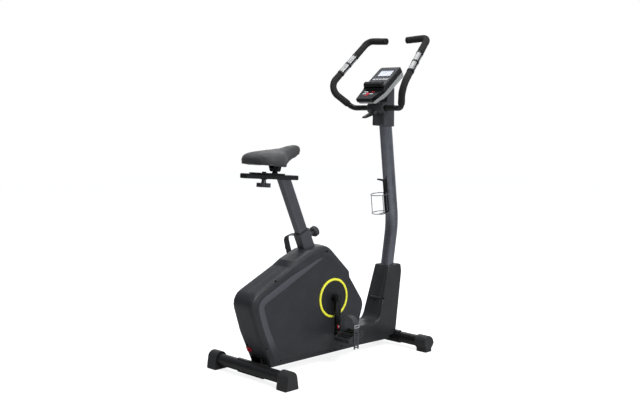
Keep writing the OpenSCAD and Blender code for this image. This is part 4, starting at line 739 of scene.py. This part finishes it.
def finish_tree(tree, links, shape, ins, outs):
    """Wires a tree and closes it: real geometry, then its material."""
    real = tree.nodes.new("GeometryNodeRealizeInstances")
    clad = tree.nodes.new("GeometryNodeSetMaterial")
    for a, b in (*links, (shape, real.inputs[0]), (real.outputs[0], clad.inputs["Geometry"]),
                 (ins["Finish"], clad.inputs["Material"]), (clad.outputs[0], outs[0])):
        tree.links.new(a, b)


def grown(tree, values, place=Matrix.Identity(4)):
    """The plain mesh that a Geometry Nodes tree makes with these inputs."""
    maker = set_out("maker", bpy.data.meshes.new("maker"))
    modifier = maker.modifiers.new("grow", "NODES")
    modifier.node_group = tree
    for socket in tree.interface.items_tree:
        if socket.item_type == "SOCKET" and socket.in_out == "INPUT":
            modifier[socket.identifier] = values[socket.name]
    mesh = worked_mesh(maker)
    bpy.data.objects.remove(maker)
    mesh.transform(place)
    return mesh


def stamp(name, outline, height, inset):
    """A small closed block on an outline, slightly smaller at its top, to be repeated."""
    n = len(outline)
    low = [(x, y, 0.0) for x, y in outline]
    top = [(x - math.copysign(min(inset, abs(x)), x), y - math.copysign(min(inset, abs(y)), y), height)
           for x, y in outline]
    mesh = bpy.data.meshes.new(name)
    mesh.from_pydata(low + top, [], [tuple(reversed(range(n))), tuple(range(n, 2 * n))]
                     + [(i, (i + 1) % n, n + (i + 1) % n, n + i) for i in range(n)])
    return set_out(name, mesh)


# One stamp after another along a line, each turned along it.
along_line, ins, outs = geometry_tree(
    "along_line", [("Line", "Object"), ("Stamp", "Object"), ("Pitch", "Float"), ("Finish", "Material")])
line = along_line.nodes.new("GeometryNodeObjectInfo")
thing = along_line.nodes.new("GeometryNodeObjectInfo")
spaced = along_line.nodes.new("GeometryNodeResampleCurve")
spaced.mode = "LENGTH"
place = along_line.nodes.new("GeometryNodeInstanceOnPoints")
tangent = along_line.nodes.new("GeometryNodeInputTangent")
aim = along_line.nodes.new("FunctionNodeAlignRotationToVector")
aim.axis = "X"
finish_tree(along_line, (
    (ins["Line"], line.inputs["Object"]), (ins["Stamp"], thing.inputs["Object"]),
    (line.outputs["Geometry"], spaced.inputs["Curve"]), (ins["Pitch"], spaced.inputs["Length"]),
    (spaced.outputs[0], place.inputs["Points"]), (thing.outputs["Geometry"], place.inputs["Instance"]),
    (tangent.outputs[0], aim.inputs["Vector"]), (aim.outputs[0], place.inputs["Rotation"]),
), place.outputs[0], ins, outs)

thread = finish("saddle_thread", paint(40, 40, 41), 0.6, 2500, 0.00004, worn=0.0)
seam_line = welt_line.copy()
seam_line.bevel_depth = 0
for point, place in zip(seam_line.splines[0].points, rim):
    near, normal, _, _ = cover.find_nearest(place + Vector((0, 0, 0.005)))
    point.co = (*(near + normal * 0.0002), 1)
seam = set_out("saddle_seam", seam_line)
half_long, half_wide = 0.0016, 0.0004
stitch = stamp("stitch", [(-half_long, -half_wide), (half_long, -half_wide), (half_long, half_wide),
                          (-half_long, half_wide)], 0.0005, 0.0002)
stitches = grown(along_line, {"Line": seam, "Stamp": stitch, "Pitch": 0.0045, "Finish": thread})
shown("saddle_stitches", stitches, "saddle_body", instead_of="saddle")
for helper in (seam, welt, stitch):
    bpy.data.objects.remove(helper)


# --- Cranks ---------------------------------------------------------------
# Flat forged arms in satin black coat, clamped to the axle under a dust cap.
# A red plug with a light middle marks the right arm by its pedal.

crank_coat = finish("crank_coat", paint(16, 16, 17), 0.32, 1000, 0.00005, worn=0.5, radius=0.0012)
dress(crank_coat, "crank_left", "crank_right")


def turned(name, profile, centre, outward, steps=32):
    """A small turned piece: profile of (radius, height), from foot to middle."""
    angles = [2 * math.pi * i / steps for i in range(steps)]
    mesh = form_mesh(name, [[(r * math.cos(a), r * math.sin(a), h) for a in angles] for r, h in profile])
    aim = Vector(outward).to_track_quat("Z", "Y").to_matrix().to_4x4()
    mesh.transform(Matrix.Translation(centre) @ aim)
    return mesh


crank_length, arm_face, plug_up = 0.150, 0.099, 0.028
plug_place = Vector((crank.x, crank.y - arm_face + 0.0012, crank.z - crank_length + plug_up))
plug_white = finish("plug_white", paint(232, 226, 226), 0.3, 500, 0.00002, tone=0.04, worn=0.0, coat=0.3)
for name, profile, out, material in (
    ("crank_plug", [(0.0090, 0.0), (0.0090, 0.0022), (0.0078, 0.0030), (0.0043, 0.0030), (0.0040, 0.0026)],
     0.0, switch_red),
    ("crank_plug_middle", [(0.0043, 0.0), (0.0043, 0.0008), (0.0032, 0.0014)], 0.0026, plug_white),
):
    plug = turned(name, profile, plug_place - Vector((0, out, 0)), (0, -1, 0))
    shown(name, plug, "crank_set", material)


# --- Pedals ---------------------------------------------------------------
# Moulded platform pedals, counterweighted so that the strap stays on top.
# Rows of blunt studs on the tread bars keep the shoe from slipping.

pedal_plastic = finish("pedal_plastic", paint(42, 43, 45), 0.38, 700, 0.0001, worn=0.5, dust=0.05)
dress(pedal_plastic, "pedal_left", "pedal_right")

# Rows and columns of one stamp on a flat field.
on_field, ins, outs = geometry_tree(
    "on_field", [("Stamp", "Object"), ("Length", "Float"), ("Width", "Float"), ("Rows", "Int"),
                 ("Columns", "Int"), ("Finish", "Material")])
thing = on_field.nodes.new("GeometryNodeObjectInfo")
field = on_field.nodes.new("GeometryNodeMeshGrid")
place = on_field.nodes.new("GeometryNodeInstanceOnPoints")
finish_tree(on_field, (
    (ins["Stamp"], thing.inputs["Object"]), (ins["Length"], field.inputs["Size X"]),
    (ins["Width"], field.inputs["Size Y"]), (ins["Rows"], field.inputs["Vertices X"]),
    (ins["Columns"], field.inputs["Vertices Y"]), (field.outputs["Mesh"], place.inputs["Points"]),
    (thing.outputs["Geometry"], place.inputs["Instance"]),
), place.outputs[0], ins, outs)


def all_in_one(name, meshes):
    """One mesh of several."""
    form = bmesh.new()
    for mesh in meshes:
        form.from_mesh(mesh)
    whole = bpy.data.meshes.new(name)
    form.to_mesh(whole)
    form.free()
    return whole


pedal_tilt = math.radians(16)
stud_radius, bar_reach, bar_y, bar_top = 0.0016, 0.022, 0.161, 0.0068
stud = stamp("stud", [(stud_radius * math.cos(a), stud_radius * math.sin(a)) for a in
                      (i * math.pi / 4 for i in range(8))], 0.0016, 0.0005)
for side, name in ((-1, "right"), (1, "left")):
    spindle = Vector((crank.x, 0, crank.z + side * crank_length))
    tilt = Matrix.Translation(spindle) @ Matrix.Rotation(-pedal_tilt, 4, "Y")
    sizes = {"Stamp": stud, "Length": 0.0, "Width": 0.066, "Rows": 1, "Columns": 10, "Finish": pedal_plastic}
    rows = [grown(on_field, sizes, tilt @ Matrix.Translation((x, side * bar_y, bar_top)))
            for x in (-bar_reach, bar_reach)]
    shown("pedal_studs_" + name, all_in_one("studs", rows), "pedal_%s_body" % name,
          pedal_plastic)
bpy.data.objects.remove(stud)


# --- Pedal straps ---------------------------------------------------------
# Bendy plastic bands over the foot, pegged to the inner cheek. The outer end
# is slotted like a belt and held by a plated buckle.

def rounded(cx, cy, length, width, corner, step):
    """A rounded outline; corner is one radius, or those of its low and high end."""
    ring = []
    for sx, sy, start in ((1, 1, 0), (-1, 1, 90), (-1, -1, 180), (1, -1, 270)):
        radius = corner if isinstance(corner, float) else corner[0 if sx < 0 else 1]
        ring += [(cx + sx * (length / 2 - radius) + radius * math.cos(math.radians(start + a)),
                  cy + sy * (width / 2 - radius) + radius * math.sin(math.radians(start + a)))
                 for a in range(0, 91, step)]
    return ring


def cut_plate(name, outlines, thick, place, step=15, bevel=0.0):
    """A flat plate; the first outline is its edge, the others are its holes."""
    shape = bpy.data.curves.new(name, "CURVE")
    shape.dimensions = "2D"
    shape.fill_mode = "BOTH"
    shape.extrude, shape.bevel_depth = thick / 2, bevel
    for outline in outlines:
        ring = rounded(*outline, step)
        run = shape.splines.new("POLY")
        run.points.add(len(ring) - 1)
        for point, (x, y) in zip(run.points, ring):
            point.co = (x, y, 0, 1)
        run.use_cyclic_u = True
    holder = set_out(name, shape)
    mesh = mended(worked_mesh(holder), 1e-6)
    bpy.data.objects.remove(holder)
    mesh.transform(place)
    return mesh


strap_plastic = finish("strap_plastic", paint(58, 60, 64), 0.45, 600, 0.0001, worn=0.3)
strap_thick, strap_foot, strap_bow, strap_step = 0.0024, -0.016, 0.036, 0.0045
inner_half, outer_half, inner_lean, outer_lean = 0.014, 0.015, 0.0080, -0.0020
cheek_in, cheek_out, cheek_gap = 0.1182, 0.204, 0.0003
slot_half, slot_pitch, slot_top = 0.0070, 0.0055, 0.0325
quarter = [math.pi / 2 * i / 12 for i in range(13)]
buckle_up, buckle_rims = 0.047, [(0, 0, 0.0300, 0.0140, 0.0015), (0, 0, 0.0240, 0.0060, 0.0015)]
# The right band stands upright, and the left one leans with its pedal.
for side, name, top in ((-1, "right", 0.086), (1, "left", 0.110)):
    spindle = Vector((crank.x, 0, crank.z + side * crank_length))
    hang = Matrix.Translation(spindle) @ Matrix.Rotation(-pedal_tilt if side > 0 else 0, 4, "Y")
    near, over = cheek_in - cheek_gap - strap_thick / 2, cheek_out + cheek_gap + strap_thick / 2
    bow = strap_bow - strap_thick / 2
    shoulder = top - strap_thick / 2 - bow
    path, z = [], strap_foot
    while z < top - bow - strap_thick / 2:
        path.append((near, z))
        z += strap_step
    path += [(near + bow - bow * math.cos(a), shoulder + bow * math.sin(a)) for a in quarter]
    path += [(over - bow + bow * math.sin(a), shoulder + bow * math.cos(a)) for a in quarter[1:]]
    tail = [slot_top - slot_pitch * i for i in range(16)]
    path += [(over, z) for z in tail if z < shoulder - 0.002]
    points, faces = [], []
    for y, z in path:
        outside = ease((y - near - 0.03) / 0.04)
        half = inner_half + (outer_half - inner_half) * outside
        lean = inner_lean * (1 - outside) * ease((z - strap_foot) / 0.04) + outer_lean * outside
        points += [hang @ Vector((x + lean, side * y, z))
                   for x in (-half, -slot_half, 0.0, slot_half, half)]
    # Every second rung of the outer tail is left open, as the slots.
    for i, ((y, z), (ahead, _)) in enumerate(zip(path, path[1:])):
        slotted = y == ahead == over and round((slot_top - z) / slot_pitch) % 2 == 0 and z < 0.030
        for j in range(4):
            if not (slotted and j in (1, 2)):
                a = i * 5 + j
                faces.append((a, a + 1, a + 6, a + 5) if side > 0 else (a, a + 5, a + 6, a + 1))
    mesh = bpy.data.meshes.new("band")
    mesh.from_pydata(points, [], faces)
    band = set_out("band", mesh)
    wall = band.modifiers.new("wall", "SOLIDIFY")
    wall.thickness, wall.offset = strap_thick, 0.0
    soft = band.modifiers.new("soft", "BEVEL")
    soft.width, soft.segments, soft.limit_method = 0.0006, 2, "ANGLE"
    mesh = smoothed(worked_mesh(band), 50)
    bpy.data.objects.remove(band)
    body, solid = "pedal_%s_body" % name, "strap_" + name
    shown("pedal_strap_" + name, mesh, body, strap_plastic, solid)
    on_tail = (-0.002, side * (cheek_out + cheek_gap + strap_thick + 0.0011), buckle_up)
    upright = hang @ Matrix.Translation(on_tail) @ Matrix.Rotation(math.radians(90), 4, "X")
    buckle = cut_plate("buckle", buckle_rims, 0.0016, upright, step=30, bevel=0.0003)
    shown("strap_buckle_" + name, buckle, body, plated_steel, solid)


# --- Handlebar ------------------------------------------------------------
# A steel tube bent on both sides, in satin black, with closed foam sleeves.
# Plates of bright steel between dark collars read the pulse.

bar_coat = finish("bar_coat", paint(18, 18, 19), 0.26, 1200, 0.00004, worn=0.3)
dress(bar_coat, "handlebar")
collar_plastic = finish("collar_plastic", paint(16, 16, 17), 0.36, 900, 0.00005)
dress(collar_plastic, "sensor_collars")
sensor_steel = finish("sensor_steel", paint(150, 151, 151), 0.34, 1500, 0.00002, metallic=0.3, tone=0.06,
                      worn=0.0, radius=0.0005, dust=0.0)
dress(sensor_steel, "pulse_sensors")
grip_foam = finish("grip_foam", paint(38, 38, 38), 0.85, 1300, 0.0004, tone=0.12, worn=0.0, level=0.2,
                   dust=0.03)
dimpled(grip_foam, 900.0, 1.0, 0.0004)


def bent_line(corners, radii, step=0.004):
    """Points along straight runs joined by bends of those radii."""
    line = [corners[0]]
    for before, corner, after, radius in zip(corners, corners[1:], corners[2:], radii):
        back, on = (before - corner).normalized(), (after - corner).normalized()
        half = back.angle(on) / 2
        centre = corner + (back + on).normalized() * radius / math.sin(half)
        start = corner + back * radius / math.tan(half) - centre
        stop = corner + on * radius / math.tan(half) - centre
        turn = math.pi - 2 * half
        count = max(4, int(turn * radius / step))
        for i in range(count + 1):
            t = i / count
            arm = (start * math.sin((1 - t) * turn) + stop * math.sin(t * turn)) / math.sin(turn)
            line.append(centre + arm)
    line.append(corners[-1])
    return line


def sleeve(line, radius, bore):
    """A foam sleeve swept along a line, rounded at both ends, open for the bar."""
    sides, round_end, end_drop, ripple, spacing = 28, 0.005, 0.0028, 0.00025, 95
    lengths = [0.0]
    for a, b in zip(line, line[1:]):
        lengths.append(lengths[-1] + (b - a).length)
    total = lengths[-1]
    marks = [0.0, 0.001, 0.0025, round_end]
    marks += [round_end + (total - 2 * round_end) * i / 60 for i in range(1, 61)]
    marks += [total - 0.0025, total - 0.001, total]
    spots = []
    for mark in marks:
        k = min(range(1, len(lengths)), key=lambda i: (lengths[i] < mark, lengths[i]))
        span = lengths[k] - lengths[k - 1]
        t = (mark - lengths[k - 1]) / span if span else 0
        spots.append(line[k - 1].lerp(line[k], min(1, max(0, t))))
    outer, side = [], None
    for i, (mark, spot) in enumerate(zip(marks, spots)):
        ahead = (spots[min(i + 1, len(spots) - 1)] - spots[max(i - 1, 0)]).normalized()
        side = ahead.orthogonal() if side is None else side - ahead * side.dot(ahead)
        side.normalize()
        up = ahead.cross(side)
        end = min(mark, total - mark)
        r = radius - end_drop * (1 - min(1, end / round_end)) ** 2
        r += ripple * math.sin(mark * spacing) * min(1, end / 0.01)
        outer.append([spot + (side * math.cos(a) + up * math.sin(a)) * r
                      for a in (2 * math.pi * j / sides for j in range(sides))])
    inner = [[spot + (p - spot).normalized() * bore for p in ring] for spot, ring in zip(spots, outer)]
    rings = outer + inner[::-1]
    faces = [(i * sides + j, k * sides + j, k * sides + (j + 1) % sides, i * sides + (j + 1) % sides)
             for i, k in zip(range(len(rings)), [*range(1, len(rings)), 0]) for j in range(sides)]
    mesh = bpy.data.meshes.new("sleeve")
    mesh.from_pydata([p for ring in rings for p in ring], [], faces)
    return smoothed(mended(mesh), 60)


def bend_end(before, corner, after, radius):
    """Where a bend of that radius ends."""
    back, on = (before - corner).normalized(), (after - corner).normalized()
    return corner + on * radius / math.tan(back.angle(on) / 2)


foam_radius, foam_bore, foam_lead, foam_rise = 0.0155, 0.0126, 0.004, 0.036
first_bend, low_bend, high_bend = 0.045, 0.055, 0.032
sensor_length, collar_gap, open_end = 0.122, 0.001, 0.003
# Corners of the bent tube from its pivot: the clamp's end, three bends, the open end.
tube_corners = ((0, 0.084, 0), (-0.009, 0.146, -0.001), (-0.094, 0.224, 0.090), (0.131, 0.180, 0.311),
                (0.126, 0.066, 0.305))
bar = Vector(next(j for j in frame["joints"] if j["name"] == "handlebar_tilt")["pos_m"])
for side, name in ((-1, "right"), (1, "left")):
    clamp, first, low, high, end = [bar + Vector((dx, side * dy, dz)) for dx, dy, dz in tube_corners]
    along, out = (high - low).normalized(), (end - high).normalized()
    low_start = bend_end(clamp, first, low, first_bend) + (low - first).normalized() * foam_lead
    low_stop = bend_end(first, low, high, low_bend) + along * foam_rise
    high_start = low_stop + along * (sensor_length + collar_gap)
    for start, corner, stop, bend, part in (
        (low_start, low, low_stop - along * collar_gap, low_bend, "low"),
        (high_start, high, end - out * open_end, high_bend, "high"),
    ):
        foam = sleeve(bent_line([start, corner, stop], [bend]), foam_radius, foam_bore)
        grip = shown("grip_%s_%s" % (part, name), foam, "handlebar_body", grip_foam,
                     "handlebar_grips")
    cap = turned("cap", [(0.0145, 0.0), (foam_radius, 0.0006), (foam_radius, 0.0018), (0.0135, 0.0027),
                         (0.006, 0.0030)], end + out * 0.0011, out)
    shown("bar_end_" + name, cap, "handlebar_body", collar_plastic, "handlebar_grips")


# --- Console --------------------------------------------------------------
# A moulded case: glossy black front shell over a satin silver back. A grey
# fascia frames the display and its keys; the lower ledge has the round key
# among small pads. A curved lip holds a book or a phone.

case_black = finish("case_black", paint(12, 12, 13), 0.18, 500, 0.00003, tone=0.06, worn=0.1, coat=0.2,
                    dust=0.02)
dress(case_black, "console_front")
case_silver = finish("case_silver", paint(166, 169, 167), 0.34, 900, 0.00003, tone=0.05, metallic=0.35,
                     worn=0.1, dust=0.04)
dress(case_silver, "console_back")
lip_plastic = finish("lip_plastic", paint(18, 18, 19), 0.36, 800, 0.00006)
dress(lip_plastic, "reading_lip")
key_plastic = finish("key_plastic", paint(196, 198, 200), 0.32, 700, 0.00003, tone=0.04, worn=0.1,
                     radius=0.0007, dust=0.02)
dress(key_plastic, "key_1", "key_2", "key_3", "key_4", "key_5")
dress(switch_red, "key_select")

# The console's own frame: up along the face from its foot, across, and off it.
slope, key_row = math.radians(37.8), 0.052
uphill, off = Vector((math.cos(slope), 0, math.sin(slope))), Vector((-math.sin(slope), 0, math.cos(slope)))
key_place = Vector(next(j for j in frame["joints"] if j["name"] == "key_3_press")["pos_m"])
console = (Matrix.Translation(key_place - uphill * key_row)
           @ Matrix((uphill, (0, 1, 0), off)).transposed().to_4x4())

fascia_grey = finish("fascia_grey", paint(68, 70, 73), 0.38, 700, 0.00004, tone=0.05, worn=0.1)
display_up, key_pitch, fascia_lift, frame_lift, ink_depth = 0.097, 0.019, 0.00027, 0.0009, 0.00021
holes = [(display_up, 0.0, 0.0424, 0.0774, 0.003)]
holes += [(key_row, i * key_pitch, 0.0094, 0.0154, 0.0018) for i in (-2, -1, 0, 1, 2)]
fascia = cut_plate("fascia", [(0.0735, 0.0, 0.137, 0.110, (0.016, 0.007)), *holes], 0.0005,
                   console @ Matrix.Translation((0, 0, fascia_lift)))
shown("console_fascia", fascia, "frame", fascia_grey)
lcd_frame = cut_plate("lcd_frame", [(display_up, 0.0, 0.0470, 0.0820, 0.004),
                                    (display_up, 0.0, 0.0410, 0.0760, 0.002)], 0.0008,
                      console @ Matrix.Translation((0, 0, frame_lift)))
shown("lcd_frame", lcd_frame, "frame", case_black)

# The display glass glows faintly of itself. This is painted light that makes it read bright and
# bluish-white, not a lit backlight.
lcd = finish("lcd_glass_painted_glow", paint(216, 219, 228), 0.12, 300, 0.000005, tone=0.03, worn=0.0, coat=0.6,
             dust=0.02, radius=0.0003)
surface = lcd.node_tree.nodes["Principled BSDF"]
surface.inputs["Emission Color"].default_value = paint(206, 214, 240)
surface.inputs["Emission Strength"].default_value = 0.25
dress(lcd, "lcd_window")

# Seven thin bars make one figure eight, repeated over the display.
segment_ink = finish("segment_ink", paint(96, 104, 128), 0.3, 500, 0.00001, tone=0.04, worn=0.0, dust=0.0)
across, along, ink = (0.0006, 0.0032), (0.0027, 0.0006), 0.00008
bars = [(x, 0, *across) for x in (0, 0.0035, -0.0035)]
bars += [(x, y, *along) for x in (0.00175, -0.00175) for y in (0.0021, -0.0021)]
points, faces = [], []
for cx, cy, length, width in bars:
    k = len(points)
    points += [(cx + sx * length / 2, cy + sy * width / 2, h) for h in (0, ink)
               for sx, sy in ((-1, -1), (1, -1), (1, 1), (-1, 1))]
    faces += [(k + 3, k + 2, k + 1, k), (k + 4, k + 5, k + 6, k + 7)]
    faces += [(k + i, k + (i + 1) % 4, k + 4 + (i + 1) % 4, k + 4 + i) for i in range(4)]
digit = bpy.data.meshes.new("digit")
digit.from_pydata(points, [], faces)
digit = set_out("digit", digit)
sizes = {"Stamp": digit, "Length": 0.024, "Width": 0.060, "Rows": 3, "Columns": 9, "Finish": segment_ink}
digits = grown(on_field, sizes, console @ Matrix.Translation((display_up, 0, -ink_depth)))
shown("lcd_digits", digits, "frame")
bpy.data.objects.remove(digit)

# Small pads round the round key, red ones in front and light ones behind.
ledge_dip = Matrix.Rotation(math.radians(4.8), 4, "Y")
ledge = console @ Matrix.Translation((-0.050, 0.006, -0.0035)) @ ledge_dip
pad_shape = stamp("pad", rounded(0, 0, 0.0072, 0.0092, 0.0010, 45), 0.0009, 0.0003)
pad_red = finish("pad_red", paint(150, 20, 40), 0.3, 500, 0.00002, tone=0.06, worn=0.0, coat=0.3, dust=0.0)
for name, slot, material, spots in (
    ("red", "red_plastic", pad_red, ((-0.0155, 0.0), (0.0155, -0.021))),
    ("light", "silver_plastic", key_plastic, ((0.0155, 0.021), (0.0, -0.021), (0.0, 0.021))),
):
    sizes = {"Stamp": pad_shape, "Length": 0.0, "Width": 0.0108, "Rows": 1, "Columns": 2, "Finish": material}
    pairs = [grown(on_field, sizes, ledge @ Matrix.Translation((x, y, -0.0001))) for x, y in spots]
    shown("ledge_pads_" + name, all_in_one("pads", pairs), "frame", material)
bpy.data.objects.remove(pad_shape)
